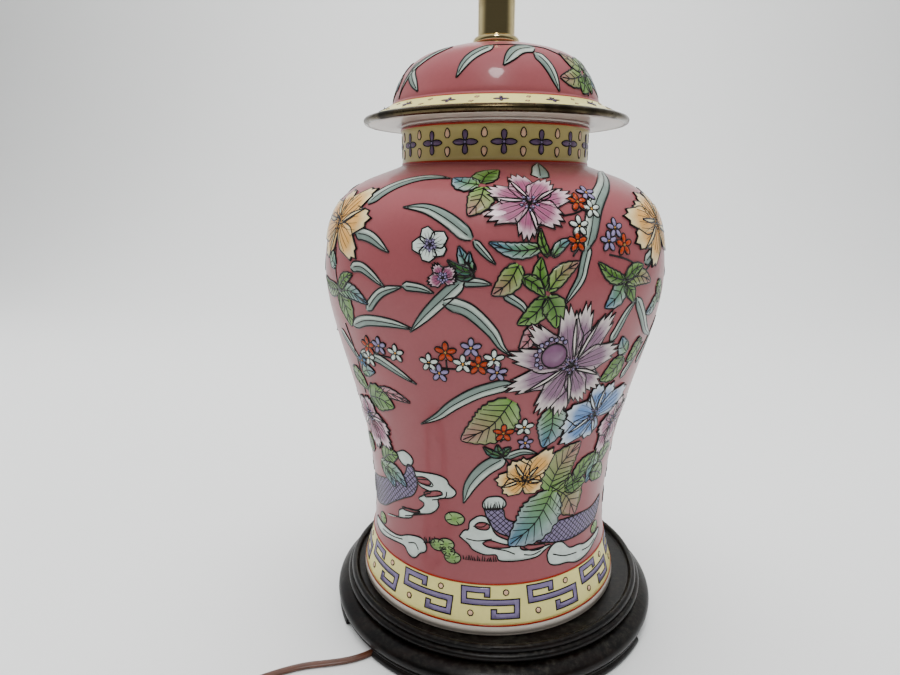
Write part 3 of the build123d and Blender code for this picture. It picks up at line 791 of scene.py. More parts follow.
def addLeaf(brush, base, tip, width, tones="green", bend=0.10, veins=None):
    # a toothed leaf with its midrib and side veins in ink
    first, last, edge = (enamel[name] for name in leafTones[tones])
    start, end = centreOn(brush, [base, tip])
    way = end - start
    length = way.length
    spine = [start, start.lerp(end, 0.5) + Vector((-way.y, way.x)) * bend, end]
    veins = veins or max(2, min(7, int(length / 5.5)))

    def half(t, side):
        teeth = 0.90 + 0.20 * ((t * (veins + 2) + 0.3) % 1)
        return max(0.15, width / 2 * math.sin(math.pi * min(1, t * 0.97 + 0.03) ** 0.78) ** 0.75 * teeth)

    def colour(t, side):
        return blendTone(blendTone(first, last, t ** 1.3), edge, 0.45 * abs(side) ** 3 + (0.15 if side > 0 else 0))

    frames = ribbon(brush, spine, half, colour, cells=(max((veins + 2) * 3, int(length / 1.9)), 4))
    count = len(frames) - 1
    stroke(brush, [spot for spot, normal in frames[:-1]], width=0.8, crown=crownHeight)
    for vein in range(veins):
        low = 0.08 + 0.80 * vein / veins
        high = min(0.96, low + 0.17)
        root, (far, normal) = frames[int(low * count)][0], frames[int(high * count)]
        for side in (-1, 1):
            stroke(brush, [root, far + normal * side * half(high, side) * 0.86], width=0.7, fade=0.4, crown=crownHeight)


petalTones = {
    "mauve": ("mauve", "mauve", "mauveEdge"), "dusk": ("dusk", "dusk", "duskEdge"),
    "yellow": ("yellow", "yellow", "yellowEdge"), "blue": ("blue", "blue", "blueEdge"),
    "white": ("lilac", "white", "white"), "rose": ("leafPink", "mauve", "mauveEdge"),
}


def addPetal(brush, centre, tip, width, tones, teeth=5, cut=0.09, streaks=4):
    # a wide petal, narrow at its root, with a toothed far edge
    first, middle, edge = (enamel[name] for name in petalTones[tones])
    start, end = centreOn(brush, [centre, tip])
    way = end - start
    cross = Vector((-way.y, way.x)).normalized()
    across = teeth * 2
    count = max(7, int(way.length / 2.4))

    def shape(t, side):
        notch = cut * (1 if round((side + 1) * teeth) % 2 else -1) * t ** 3
        reach = t * (1 - 0.26 * side * side) + notch
        half = width / 2 * (0.14 + 0.86 * math.sin(math.pi / 2 * min(1.0, t * 1.45))) * (1 - 0.16 * t ** 4)
        ripple = 1 + 0.05 * math.sin(11 * t) * abs(side)
        return start + way * reach + cross * side * half * ripple

    bm = brush["fill"]
    tint = bm.verts.layers.float_color["tint"]
    made = bmesh.ops.create_grid(bm, x_segments=count, y_segments=across, size=1)["verts"]

    def flatOf(vert):
        t, side = (vert.co.x + 1) / 2, vert.co.y
        base = blendTone(first, middle, t * 2)
        line = 0.10 if round((side + 1) * teeth) % 2 else 0.0
        vert[tint] = blendTone(base, edge, max(abs(side) ** 6 * 0.9, (t - 0.68) / 0.30) + line)
        return shape(t, side), brush["lift"] + crownHeight * (1 - side * side)

    layDown(brush, bm, made, flatOf)
    rim = [shape(n / count, -1) for n in range(count + 1)] + [shape(1, -1 + 2 * n / across) for n in range(1, across)]
    rim += [shape(1 - n / count, 1) for n in range(count + 1)]
    stroke(brush, rim, smooth=False, width=0.85)
    for n in range(streaks):
        lean = -0.66 + 1.32 * n / (streaks - 1)
        stroke(brush, [shape(0.12, lean), shape(0.45, lean), shape(0.72, lean)], width=0.45, fade=0.8, crown=crownHeight)


foldFrom = 12  # flowers with wider petals than this, in mm, show turned edges


def addFold(brush, middle, tip, width, colour):
    # the pale turned edge of a petal, a thin strip along one side of it
    way = tip - middle
    cross = Vector((-way.y, way.x)).normalized()
    spine = [middle + way * 0.16, middle + way * 0.45 + cross * width * 0.20, middle + way * 0.80 + cross * width * 0.36]

    def half(t, side):
        return 0.25 + 0.055 * width * math.sin(math.pi * min(1.0, t + 0.06))

    ribbon(brush, spine, half, lambda t, side: colour, cells=(8, 2))


petalCuts = {"white": (2, 0.035), "mauve": (4, 0.09), "dusk": (4, 0.08), "rose": (4, 0.06), "yellow": (3, 0.05), "blue": (3, 0.05)}


def addFlower(brush, centre, petals, width, tones):
    # petals overlap in turn, the last on top, about a ring of stamens
    teeth, cut = petalCuts[tones]
    base = brush["lift"]
    for number, tip in enumerate(petals):
        brush["lift"] = base + 0.09 * (number % 2)
        addPetal(brush, centre, tip, width * (0.92 + 0.04 * (number * 3 % 5)), tones, teeth, cut)
    flat = centreOn(brush, [centre] + list(petals))
    middle = flat[0]
    brush["lift"] = base + 0.20
    for tip in flat[1::2] if width > foldFrom else []:
        addFold(brush, middle, tip, width, enamel[petalTones[tones][2]])
    brush["lift"] = base + 0.30
    for n in range(10):
        heading = 2 * math.pi * n / 10 + 0.3
        end = middle + Vector((math.cos(heading), math.sin(heading))) * width * (0.20 + 0.10 * (n % 2))
        stroke(brush, [middle, end], width=0.5)
        disc(brush, end, 1.2, 0.9, heading, enamel["yellow" if tones == "yellow" else "lilac"], pen=0.45)
    brush["lift"] = base


def addBlossom(brush, centre, size, colourName, heart="yellow", heading=0.3):
    # five round petals about a dot
    middle = centreOn(brush, [centre])[0]
    for n in range(5):
        turn = heading + 2 * math.pi * n / 5
        spot = middle + Vector((math.cos(turn), math.sin(turn))) * size * 0.60
        disc(brush, spot, size * 0.49, size * 0.28, turn, enamel[colourName], edge=enamel[colourName], pen=0.7)
    disc(brush, middle, size * 0.13, size * 0.13, 0, enamel[heart], pen=0.4, lift=0.15)


def addOutline(brush, spots, colourName, smooth=True, lift=None, cell=3.0):
    # a filled shape with an ink line round it
    flat = centreOn(brush, spots)
    if smooth:
        length = sum((b - a).length for a, b in zip(flat, flat[1:] + flat[:1]))
        flat = [spot for spot, normal in smoothPath(flat + flat[:1], int(length / 2.2))][:-1]
    cutPatch(brush, flat, enamel[colourName], lift, cell)
    stroke(brush, flat + flat[:1], smooth=smooth)
    return flat


def inside(outline, spot):
    # even-odd test along a level line
    odd = False
    for a, b in zip(outline, outline[1:] + outline[:1]):
        if (a.y > spot.y) != (b.y > spot.y) and spot.x < a.x + (spot.y - a.y) / (b.y - a.y) * (b.x - a.x):
            odd = not odd
    return odd


def lattice(brush, outline, spacing, width=0.5):
    # crossing slanted lines, kept inside an outline
    low = Vector((min(p.x for p in outline), min(p.y for p in outline)))
    high = Vector((max(p.x for p in outline), max(p.y for p in outline)))
    span = (high - low).x + (high - low).y
    for lean in (-1, 1):
        way = Vector((1, lean)).normalized()
        for n in range(int(span / spacing) + 1):
            start = Vector((low.x, low.y + n * spacing - (high.x - low.x if lean > 0 else 0)))
            run = []
            for step in range(int(span * 1.5 / 1.5)):
                spot = start + way * step * 1.5
                if inside(outline, spot):
                    run.append(spot)
                if run and not inside(outline, spot):
                    break
            if len(run) > 2:
                stroke(brush, [run[0], run[len(run) // 2], run[-1]], width=width)


# Zones of the jar, in mm up its side from the foot, and of the lid from its gilt rim.
zones = {
    "foot": (-2.4, 5.6), "baseBand": (5.6, 33.6), "neckBand": (0.0, 0.0), "redWidth": 1.1, "skin": 0.10,
    "neckLow": 341.0, "neckHigh": 363.4, "lip": 366.4,
}


def lengthAt(line, height):
    # how far up the side a height above the floor is, in mm
    for index, point in enumerate(line["points"]):
        if point.y >= height:
            return line["along"][index]
    return line["along"][-1]


def spinBand(name, line, low, high, material, lift=0.12, step=2.5, thick=0.5, segments=160):
    # a closed skin round the jar between two lengths up its side
    bm = bmesh.new()
    count = max(2, int((high - low) / step))
    verts = [bm.verts.new(place(line, 0, low + (high - low) * n / count, lift)) for n in range(count + 1)]
    inner = [bm.verts.new(place(line, 0, low + (high - low) * n / count, lift - thick)) for n in range(count + 1)]
    chain = verts + inner[::-1]
    edges = [bm.edges.new((a, b)) for a, b in zip(chain, chain[1:] + chain[:1])]
    bmesh.ops.spin(bm, geom=chain + edges, cent=(axisX, axisY, 0), axis=(0, 0, 1), angle=2 * math.pi,
                   steps=segments, use_merge=True)
    return addPiece(name, bm, material)


neckLow, neckHigh = lengthAt(jarLine, 341.0), lengthAt(jarLine, 363.4)
lipHigh = jarLine["along"][-1]


def makeBands():
    foot, base = zones["foot"], zones["baseBand"]
    red = zones["redWidth"]
    spinBand("whiteFoot", jarLine, 0.0, base[0], "bareWhite")
    edge = makeLine("jar_body", jarRays(jarBox[0][2] + 0.0003, jarBox[0][2] + 0.0028, 0.0005))
    spinBand("footEdge", edge, 0.0, edge["along"][-1], "bareWhite", lift=0.11, step=0.5)
    spinBand("baseBand", jarLine, base[0], base[1], "band")
    # the neck band's finish is the band yellow darkened as painted shade under the lid
    spinBand("neckBand", jarLine, neckLow, neckHigh, "neckBand", step=3.0)
    spinBand("whiteLip", jarLine, neckHigh, lipHigh, "bareWhite", step=0.5)
    for number, along in enumerate((base[0], base[1], neckLow, neckHigh)):
        spinBand(f"redLine{number + 1}", jarLine, along - red / 2, along + red / 2, "ironRed", lift=0.30, step=0.5)


makeBands()
print("bands laid")

baseFret = {
    "count": 13, "first": 1.8, "width": 3.8, "middle": 20.9, "dots": ((6.4, 28.0), (-8.0, 13.6)), "dotSize": 2.0,
    # one key's middle line: in from its upper hook, along the long bar, out to its lower hook
    "line": [(-2.3, 4.0), (-2.3, 8.7), (-18.2, 8.7), (-18.2, 0.3), (18.2, 0.3), (18.2, -8.7), (2.3, -8.7), (2.3, -4.2)],
}


def makeFrets():
    brush = newBrush(jarLine)
    path = [Vector(p) for p in baseFret["line"]]
    frames = cornerFrames(path)
    half = baseFret["width"] / 2
    outline = [p + n * half for p, n in frames] + [p - n * half for p, n in frames[::-1]]
    for number in range(baseFret["count"]):
        brush["around"] = baseFret["first"] + number * 360 / baseFret["count"]
        lifted = [spot + Vector((0, baseFret["middle"])) for spot in outline]
        cutPatch(brush, lifted, enamel["fret"], 0.36, 6.0)
        stroke(brush, lifted + lifted[:1], smooth=False, width=0.75)
        for angle, along in baseFret["dots"]:
            turned = Vector((math.radians(angle) * radiusAt(jarLine, along), along))
            disc(brush, turned, baseFret["dotSize"], baseFret["dotSize"], 0, enamel["peach"], pen=0.7)
    finishBrush(brush, "baseFret")


def finishBrush(brush, name, shell=1.1):
    addPiece(name, brush["fill"], "enamel", shell=shell)
    addPiece(name + "Ink", brush["ink"], "ink", shell=shell)


neckMotif = {
    "count": 17, "first": 5.2, "drop": (3.1, 1.8), "apart": 5.7,
    # half length, half width, distance out and point of the level and the upright petals
    "petals": ((4.0, 1.8, 4.3, 0.5), (3.3, 1.7, 4.1, -0.5)),
}


def addQuatrefoil(brush, middle, scale=1.0):
    for n in range(4):
        turn = math.pi / 2 * n
        long, wide, reach, point = neckMotif["petals"][n % 2]
        spot = middle + Vector((math.cos(turn), math.sin(turn))) * reach * scale
        disc(brush, spot, long * scale, wide * scale, turn, enamel["violet"], pointed=point, pen=0.7 * scale)
    disc(brush, middle, 1.1 * scale, 1.1 * scale, 0, enamel["lilac"], pen=0.5 * scale, lift=0.2)


def makeNeckMotifs():
    brush = newBrush(jarLine)
    middle = (neckLow + neckHigh) / 2
    for number in range(neckMotif["count"]):
        angle = neckMotif["first"] + number * 360 / neckMotif["count"]
        brush["around"] = angle
        addQuatrefoil(brush, Vector((0, middle)))
        brush["around"] = angle + 180 / neckMotif["count"]
        for side in (-1, 1):
            spot = Vector((0, middle + side * neckMotif["apart"]))
            disc(brush, spot, *neckMotif["drop"], math.pi / 2 * side, enamel["peach"], pointed=0.7, pen=0.7)
    finishBrush(brush, "neckMotif")


makeFrets()
makeNeckMotifs()
print("bands painted")

# Spots are (degrees to the right of the front, mm up the side).
blades = [
    (10, [(17.5, 317), (20, 328), (24, 343)]),
    (9, [(26, 265), (30, 285), (34, 296), (42, 308), (50, 318), (58, 326), (66, 330), (74, 332)]),
    (6, [(27, 268), (25.5, 258), (24.5, 250), (22, 242), (19.5, 234)]),
    (9, [(-44, 292), (-38, 307), (-30, 316), (-22, 318), (-16, 316)]),
    (8, [(-5.5, 272), (-13, 283), (-20, 289.5), (-28, 290)]), (4, [(-5, 271), (-1, 262), (1, 258)]),
    (7, [(-45, 272.5), (-38, 271), (-30, 262.5)]), (6, [(-46, 251), (-40, 252), (-31, 242)]),
    (6, [(-39, 226), (-33, 238), (-25, 243.5)]), (5, [(-25, 244), (-20, 243.5), (-15.5, 241)]),
    (7, [(-48, 213), (-40, 219), (-30, 220), (-22, 218)]), (8, [(-7.5, 249), (-13, 238), (-18, 228), (-23.5, 216)]),
    (5, [(-8, 248), (-4, 248), (0, 247)]), (8, [(-13, 236), (-6, 232), (0, 220), (3, 210), (6, 204)]),
    (5, [(3, 242), (8, 235), (10, 228)]), (7, [(-48, 193), (-40, 194), (-33, 189), (-24, 180)]),
    (6, [(-60, 205), (-54, 195), (-48, 182)]), (8, [(7, 185), (4, 184), (-4, 178), (-12, 168), (-18, 158), (-25, 150)]),
    (10, [(6, 130), (-1, 121), (-7, 108), (-10, 93)]), (5, [(6, 130), (12, 134), (18, 132)]),
    (6, [(38, 208), (42, 224), (46.5, 234)]), (7, [(46.5, 234), (52, 222), (58, 210), (66, 203)]),
    (6, [(50, 178), (55, 190), (60, 200)]), (6, [(60, 185), (66, 200), (70, 215)]),
    (7, [(50, 255), (56, 262), (60, 272)]),
]
leaves = [
    ((-4.5, 254), (-9, 268), 7, "blue"), ((-5, 253), (-6, 265), 5, "blue"), ((-4.5, 253), (-12, 260), 5, "dark"),
    ((-4.5, 252), (-10, 251), 4, "dark"), ((-4, 310), (2, 329), 15, "green"), ((-5, 308), (-15, 316), 14, "blue"), ((-3, 306), (-7, 285), 15, "pink"),
    ((13, 267), (-1, 270), 9, "blue"), ((15, 262), (13, 278), 5, "green"), ((16, 262), (22, 272), 6, "blue"),
    ((7, 258), (0, 241), 13, "pink"), ((8, 251), (14, 240), 8, "green"), ((15, 243), (24, 259), 10, "pink"),
    ((15, 240), (7, 224), 12, "green"), ((15, 240), (18, 221), 14, "green"), ((12, 224), (8, 208), 10, "allPink"),
    ((14, 243), (13, 262), 9, "green"), ((40, 246), (30, 258), 8, "green"), ((40, 246), (33, 231), 13, "blue"),
    ((40, 246), (54, 243), 11, "pink"), ((40, 246), (49, 254), 8, "green"), ((40, 244), (45, 232), 9, "green"),
    ((47, 195), (38, 181), 16, "green"), ((48, 198), (43, 210), 10, "blue"), ((7, 173), (-10, 142), 26, "pink"),
    ((21, 166), (20, 136), 20, "blue"), ((5, 131), (-2, 138), 5, "dark"), ((5, 131), (8, 138), 5, "dark"),
    ((5, 131), (3, 140), 5, "dark"), ((27, 100), (9, 62), 31, "blue"), ((26, 104), (41, 76), 30, "pink"),
    ((25, 101), (37, 135), 24, "pink"), ((38, 103), (48, 121), 13, "green"),
    ((49, 122), (46, 98), 14, "blue"), ((33, 100), (45, 100), 14, "green"),
    ((-50, 105), (-37, 95), 12, "blue"), ((-52, 108), (-40, 118), 14, "green"), ((-55, 105), (-45, 90), 14, "blue"),
    ((-50, 160), (-36, 158), 20, "green"), ((-45, 166), (-28, 165), 8, "allPink"), ((-54, 235), (-38, 230), 10, "blue"),
    ((-54, 235), (-45, 247), 8, "green"), ((-54, 235), (-49, 212), 18, "green"), ((-54, 235), (-70, 240), 10, "green"),
    ((-50, 178), (-42, 182), 9, "blue"), ((-60, 175), (-50, 165), 14, "green"), ((-56, 250), (-62, 262), 10, "teal"),
    ((56, 205), (50, 190), 12, "green"), ((60, 240), (66, 226), 12, "green"), ((62, 232), (54, 222), 10, "blue"),
    ((48, 105), (60, 95), 14, "green"), ((52, 112), (64, 118), 12, "green"), ((-62, 120), (-72, 108), 14, "green"),
]
flowers = [
    ("yellow", 19, (-57, 278), [(-74, 290), (-74, 270), (-62, 302), (-45, 303), (-66, 256), (-44, 258), (-40, 282)]),
    ("yellow", 19, (63, 278), [(75, 262), (78, 285), (70, 300), (58, 300), (50, 290), (55, 253), (46, 268), (43, 284)]),
    ("yellow", 15, (14, 112), [(22, 118), (24, 134), (13, 129), (9, 127), (3, 113), (6, 103), (21, 104)]),
    ("mauve", 16, (10.5, 293), [(9, 272), (-1, 284), (-1.5, 304), (19, 281), (24, 300), (19, 312), (8, 319)]),
    ("blue", 17, (40, 155), [(46, 176), (57, 168), (38, 178), (27, 162), (26, 150), (27, 138), (38, 138)]),
    ("dusk", 16.5, (24.5, 196), [(27, 233), (21, 232), (36, 226), (41, 203), (37, 178), (31, 170), (23, 162), (16, 165),
                               (6, 182), (6, 205), (11, 222)]),
    ("rose", 17, (55, 143), [(58, 160), (46, 140), (50, 120), (60, 125), (66, 150), (52, 156)]),
    ("rose", 17, (-55, 142), [(-68, 135), (-62, 152), (-52, 157), (-55, 117), (-43, 135), (-44, 122)]),
]
smallFlowers = [
    ("white", 10, (-17, 268), [(-19, 278), (-12.5, 274), (-12.5, 264), (-18, 258.5), (-22.5, 267)]),
    ("mauve", 8, (-13, 250), [(-15.5, 257), (-10, 255.5), (-9.5, 249), (-17, 247)]),
]
heart = {"place": (18.5, 203.5), "radius": 8.0, "beads": 11, "beadRing": 10.4, "beadArc": (1.0, 3.9), "beadSize": 1.5}
blossoms = [
    (6, (-18.5, 197), "white"), (6.5, (-13, 205), "orange"), (6, (-15.5, 190.5), "lilac"), (6, (-8, 198), "white"),
    (6, (-5.5, 209), "lilac"), (6.5, (-3.5, 197.5), "orange"), (6, (1, 202), "white"), (6, (2, 193), "lilac"),
    (6.5, (26, 294), "orange"), (6, (31, 301), "lilac"), (6, (24.5, 279), "white"), (6, (23.5, 270), "orange"),
    (6, (34, 269.5), "lilac"), (6.5, (40, 267), "orange"), (6, (37, 277), "lilac"), (6, (30, 289), "white"),
    (6.5, (-42, 201), "orange"), (6, (-36.5, 203), "lilac"), (6, (-30, 200), "white"), (6, (-43, 192), "white"),
    (6.5, (5, 149), "orange"), (6, (12, 153), "white"), (5, (13, 141), "lilac"), (5, (-48, 188), "leafBlue"),
]
stems = [
    [(-20, 194), (-12, 194), (-4, 194), (5, 191)], [(-13, 194), (-13, 200)], [(-6, 195), (-6, 203)],
    [(20, 285), (26, 288), (32, 296)], [(22, 262), (27, 275), (24, 284)], [(34, 262), (40, 259), (44, 256)],
    [(-44, 196), (-36, 196), (-30, 196)], [(4, 142), (8, 150), (13, 148)], [(11, 270), (13, 256), (15, 243)],
    [(17, 240), (20, 228)], [(5, 131), (10, 120), (14, 112)], [(40, 246), (48, 248), (56, 256)],
    [(-57, 262), (-56, 245), (-54, 235)], [(-54, 212), (-52, 190), (-54, 160)], [(24, 160), (22, 140), (20, 118)],
]
clouds = [
    [(-12, 67), (-10, 72), (-8, 73), (-7.5, 79), (-4, 84), (-1, 84), (1, 80), (4, 70), (13, 63), (15, 58), (20, 57),
     (29, 58), (26, 55), (22, 51), (16, 50), (10, 50), (5, 51), (4, 55), (-1, 55), (-6, 58), (-8, 62)],
    [(27, 50), (28, 44), (32, 41), (38, 40), (44, 37), (52, 38), (60, 42), (66, 45), (66, 48), (58, 47), (50, 47),
     (46, 49), (40, 50), (37, 54), (35, 57), (31, 58), (28, 54)],
    [(-32, 110), (-22, 112), (-17, 110), (-16, 106), (-13, 101), (-15, 96), (-21, 93), (-21, 87), (-25, 80),
     (-34, 75), (-36, 71), (-42, 67), (-54, 62), (-45, 66), (-44, 72), (-38, 77), (-32, 79), (-28, 86), (-31, 89),
     (-26, 95), (-24, 97), (-30, 100)],
    [(-70, 48), (-55, 49), (-45, 51), (-38, 56), (-31, 58), (-28, 54), (-28, 49), (-31, 46), (-33, 42), (-35, 40.5),
     (-38, 42), (-41, 46), (-50, 44), (-60, 41), (-70, 42)],
]
cloudCurls = [
    [(-9, 66), (-4, 65), (2, 67)], [(-6, 76), (-2, 76), (0, 79)], [(2, 60), (8, 58), (12, 55)],
    [(16, 54), (20, 53), (24, 55)], [(30, 50), (36, 46), (44, 44)], [(48, 43), (54, 42), (60, 44)],
    [(-31, 104), (-25, 106), (-23, 102), (-27, 101)], [(-24, 91), (-18, 95), (-17, 100)], [(-40, 70), (-34, 74), (-28, 78)],
    [(-60, 45), (-50, 47), (-42, 50)], [(-38, 50), (-34, 52), (-32, 48)],
]
cloudGaps = [
    [(-5.5, 76), (-4, 79), (-1, 79.5), (1, 77), (0, 74), (-3.5, 74)], [(-2, 63.5), (1, 66), (6, 63.5), (11, 61), (5, 60), (0, 61)],
    [(15, 62.5), (20, 60.5), (26, 59.5), (24, 56.5), (19, 56.5), (16, 59.5)], [(-31, 106), (-27, 107.5), (-24, 105), (-25, 102), (-30, 102)],
    [(-27, 92), (-23, 94), (-19, 97), (-20, 99.5), (-24, 98), (-28, 95)], [(-40, 74.5), (-34, 76), (-30, 79), (-35, 77.5), (-42, 76)],
]
baskets = [
    [(-1.5, 90), (0, 82), (3, 74), (7, 70), (14, 66), (22, 62), (30, 59), (38, 57), (46, 57), (55, 58), (62, 62),
     (65, 76), (55, 73), (45, 74), (30, 75), (18, 77), (8, 82), (6, 90)],
    [(-32, 112), (-31, 100), (-34, 90), (-40, 84), (-48, 76), (-58, 66), (-72, 62), (-74, 80), (-60, 88), (-46, 96),
     (-38, 104), (-35, 114)],
]
basketRims = [[(-2, 95), (0, 99), (5, 99.5), (7.5, 94), (5, 90), (-1.5, 90)], [(-41, 120), (-36, 124), (-32, 120), (-33, 114), (-38, 112)]]
pads = [(7, (-14, 80)), (6, (-22, 57)), (5, (-17, 54)), (6, (-15, 50)), (6, (60, 53)), (6, (-60, 54)), (6, (-18, 59))]
tufts = [((-10, 50), (4, 50), 15, 4.5), ((-29, 55), (-24, 57), 7, 6.0), ((-1, 90), (6, 91), 8, 6.0)]
# what fills the plain strips at the two ends of the jar, about its own middle
between = {
    "blades": [
        (8, [(-2, 40), (-4, 66), (2, 90), (0, 112)]), (8, [(0, 112), (-8, 128), (-12, 146)]),
        (7, [(2, 118), (9, 136), (11, 156)]), (8, [(0, 178), (-5, 202), (3, 226), (0, 250)]),
        (7, [(0, 250), (8, 262), (13, 278)]), (8, [(-2, 254), (-9, 268), (-13, 286)]), (8, [(2, 300), (-3, 316), (4, 334)]),
    ],
    "leaves": [
        ((0, 112), (-12, 104), 14, "green"), ((0, 112), (12, 102), 15, "blue"), ((1, 113), (5, 96), 13, "pink"),
        ((0, 168), (-11, 178), 13, "green"), ((1, 168), (12, 180), 14, "pink"), ((0, 250), (-11, 242), 13, "blue"),
        ((0, 250), (11, 240), 14, "green"), ((2, 298), (-10, 306), 12, "green"), ((2, 298), (13, 308), 12, "pink"),
        ((-4, 62), (-14, 70), 12, "green"), ((-3, 60), (9, 68), 12, "teal"),
    ],
    "flower": ("rose", 14, (1, 150), [(-9, 160), (-10, 145), (1, 130), (11, 143), (10, 160), (1, 168)]),
    "blossoms": [
        (6, (-7, 212), "orange"), (6, (6, 206), "white"), (6, (9, 220), "lilac"), (6, (-9, 196), "white"),
        (6, (-6, 292), "lilac"), (6, (7, 290), "orange"), (6, (-7, 84), "white"), (6, (7, 82), "orange"),
    ],
}
sides = [{"name": "front", "offset": 0.0, "mirror": 1}, {"name": "back", "offset": 180.0, "mirror": -1}]


def paintHeart(brush):
    # a curled inner petal with a row of beads along its far side
    middle = centreOn(brush, [heart["place"]])[0]
    radius = heart["radius"]
    disc(brush, middle, radius, radius, 0, enamel["dusk"], pen=0.9)
    low, high = heart["beadArc"]
    for n in range(heart["beads"]):
        turn = low + (high - low) * n / (heart["beads"] - 1)
        spot = middle + Vector((math.cos(turn), math.sin(turn))) * (heart["beadRing"] + 1.1 * (n % 2))
        disc(brush, spot, heart["beadSize"], heart["beadSize"], 0, enamel["lilac"], pen=0.6, lift=0.1)


def paintPads(brush):
    for size, spot in pads:
        middle = centreOn(brush, [spot])[0]
        disc(brush, middle, size, size * 0.72, 0.1, enamel["green"], edge=enamel["paleGreen"], pen=0.8)
        for turn in (0.5, 2.2, 3.6, 5.2):
            stroke(brush, [middle, middle + Vector((math.cos(turn) * size, math.sin(turn) * size * 0.7)) * 0.9], width=0.55)


def paintTufts(brush):
    for first, last, count, height in tufts:
        ends = centreOn(brush, [first, last])
        for n in range(count):
            foot = ends[0].lerp(ends[1], n / (count - 1))
            lean = Vector((random.uniform(-1.2, 1.2), height * random.uniform(0.6, 1.0)))
            stroke(brush, [foot, foot + lean], width=1.1, fade=0.8)


def paintSide(side):
    name = side["name"]
    ground = newBrush(jarLine, side["offset"], side["mirror"], lift=0.22)
    for outline in clouds:
        addOutline(ground, outline, "cloud")
    for curl in cloudCurls:
        stroke(ground, centreOn(ground, curl), width=0.8)
    ground["lift"] = 0.28
    for gap in cloudGaps:
        addOutline(ground, gap, "ground")
    ground["lift"] = 0.22
    for outline in baskets:
        lattice(ground, addOutline(ground, outline, "basket"), 4.2)
    for outline in basketRims:
        addOutline(ground, outline, "cloud")
    paintPads(ground)
    paintTufts(ground)
    finishBrush(ground, name + "Water")
    grass = newBrush(jarLine, side["offset"], side["mirror"], lift=0.26)
    for stem in stems:
        stroke(grass, centreOn(grass, stem), width=1.1)
    for number, (width, spots) in enumerate(blades):
        grass["lift"] = 0.26 + 0.07 * (number % 2)
        addBlade(grass, spots, width)
    finishBrush(grass, name + "Grass")
    foliage = newBrush(jarLine, side["offset"], side["mirror"])
    for number, (base, tip, width, tones) in enumerate(leaves):
        foliage["lift"] = 0.44 + 0.08 * (number % 3)
        addLeaf(foliage, base, tip, width, tones)
    finishBrush(foliage, name + "Leaves")
    bloom = newBrush(jarLine, side["offset"], side["mirror"], lift=0.80)
    for tones, width, centre, petals in flowers:
        addFlower(bloom, centre, petals, width, tones)
    bloom["lift"] = 1.16
    paintHeart(bloom)
    bloom["lift"] = 0.60
    for tones, width, centre, petals in smallFlowers:
        addFlower(bloom, centre, petals, width, tones)
    for size, spot, colourName in blossoms:
        addBlossom(bloom, spot, size, colourName)
    finishBrush(bloom, name + "Flowers")
    print(name, "painted")


for side in sides:
    paintSide(side)

def paintBetween(name, offset, mirror):
    grass = newBrush(jarLine, offset, mirror, lift=0.26)
    for number, (width, spots) in enumerate(between["blades"]):
        grass["lift"] = 0.28 + 0.07 * (number % 2)
        addBlade(grass, spots, width)
    for number, (base, tip, width, tones) in enumerate(between["leaves"]):
        grass["lift"] = 0.48 + 0.08 * (number % 3)
        addLeaf(grass, base, tip, width, tones)
    grass["lift"] = 0.84
    tones, width, centre, petals = between["flower"]
    addFlower(grass, centre, petals, width, tones)
    grass["lift"] = 0.60
    for size, spot, colourName in between["blossoms"]:
        addBlossom(grass, spot, size, colourName)
    finishBrush(grass, name)


paintBetween("rightFill", 90.0, 1)
paintBetween("leftFill", -90.0, -1)
print("ends painted")

lidParts = {
    "rim": {"radius": 89.9, "up": 3.9, "first": -112, "last": 118, "step": 10},
    "ring": (2.2, 18.6), "pink": 18.9, "motifs": 16, "firstMotif": 2.5, "motifScale": 0.55, "dots": (3.6, 1.5),
    "under": (66.6, 88.8),
}
lidBlades = [
    (7, [(-2, 55), (-15, 43), (-20, 30)]), (9, [(25, 54), (13, 50), (4, 37)]), (7, [(23, 48), (29, 38), (33, 22)]),
    (5, [(-33, 60), (-48, 48), (-56, 40), (-61, 30), (-62, 22)]), (7, [(-56, 47), (-54, 37), (-43, 24)]),
]
lidLeaves = [
    ((54, 36), (35, 31), 12, "pink"), ((55, 35), (50, 23), 12, "green"), ((56, 40), (43, 51), 11, "pink"),
    ((58, 38), (68, 29), 12, "blue"), ((57, 40), (66, 50), 10, "green"), ((58, 36), (60, 24), 9, "green"),
]
lidStems = [[(-6, 56), (2, 57), (18, 58), (33, 56)], [(33, 56), (44, 48), (55, 38)]]
lidSprays = [(0.0, 1), (118.0, 1), (222.0, 1)]


def rimRays():
    rim = lidParts["rim"]
    middle = Vector((axisX + rim["radius"] * mm, axisY, seam + rim["up"] * mm))
    rays = []
    for turn in range(rim["first"], rim["last"] + 1, rim["step"]):
        way = Vector((math.cos(math.radians(turn)), 0, math.sin(math.radians(turn))))
        rays.append((middle + way * 0.008, -way))
    return rays


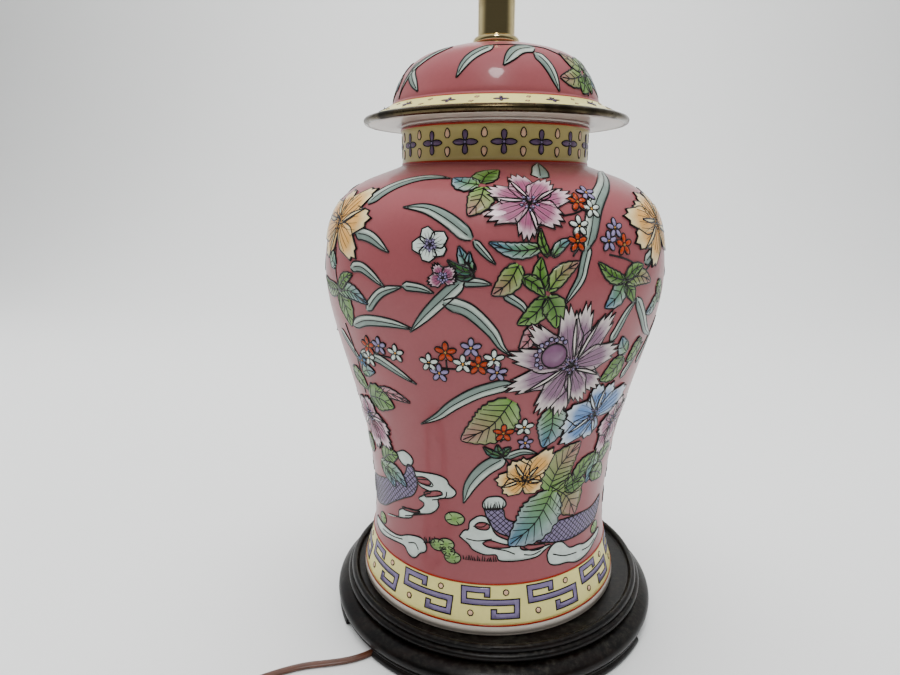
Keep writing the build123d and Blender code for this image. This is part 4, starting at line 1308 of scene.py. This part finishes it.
def underRays():
    low, high = lidParts["under"]
    return [((axisX + r * mm, axisY, seam - 0.002), (0, 0, 1)) for r in (low, low + 6, low + 12, low + 18, high)]


def makeLidBands():
    rimLine = makeLine("lid", rimRays())
    spinBand("giltRim", rimLine, 0.0, rimLine["along"][-1], "gilt", lift=0.25, step=0.9)
    spinBand("lidRing", lidLine, *lidParts["ring"], "band", step=2.0)
    spinBand("lidRingLine", lidLine, lidParts["ring"][1] - 0.3, lidParts["ring"][1] + 0.5, "ironRed", lift=0.3, step=0.4)
    spinBand("lidUnderside", makeLine("lid", underRays()), 0.0, lidParts["under"][1] - lidParts["under"][0],
             "bareWhite", step=4.0)
    stepLine = makeLine("lid", [((axisX + 0.3, axisY, seam + h * mm), (-1, 0, 0)) for h in (0.1, 0.8, 1.5)])
    spinBand("lidStep", stepLine, 0.0, stepLine["along"][-1], "bareWhite", step=0.7)


def paintLid():
    ring = newBrush(lidLine, lift=0.26)
    middle = sum(lidParts["ring"]) / 2
    for number in range(lidParts["motifs"]):
        ring["around"] = lidParts["firstMotif"] + number * 360 / lidParts["motifs"]
        addQuatrefoil(ring, Vector((0, middle)), lidParts["motifScale"])
        ring["around"] += 180 / lidParts["motifs"]
        for side in (-1, 1):
            spot = Vector((side * 1.2, middle + side * lidParts["dots"][0]))
            disc(ring, spot, lidParts["dots"][1], lidParts["dots"][1] * 0.7, 0.4, enamel["peach"], pen=0.5)
    finishBrush(ring, "lidRingMotif")
    spray = newBrush(lidLine, lift=0.24)
    for offset, mirror in lidSprays:
        spray["offset"], spray["mirror"] = offset, mirror
        for stem in lidStems:
            stroke(spray, centreOn(spray, stem), width=1.0)
        for number, (width, spots) in enumerate(lidBlades):
            spray["lift"] = 0.26 + 0.07 * (number % 2)
            addBlade(spray, spots, width)
        for number, (base, tip, width, tones) in enumerate(lidLeaves):
            spray["lift"] = 0.44 + 0.08 * (number % 3)
            addLeaf(spray, base, tip, width, tones)
    finishBrush(spray, "lidSpray")


makeLidBands()
paintLid()
print("lid painted")
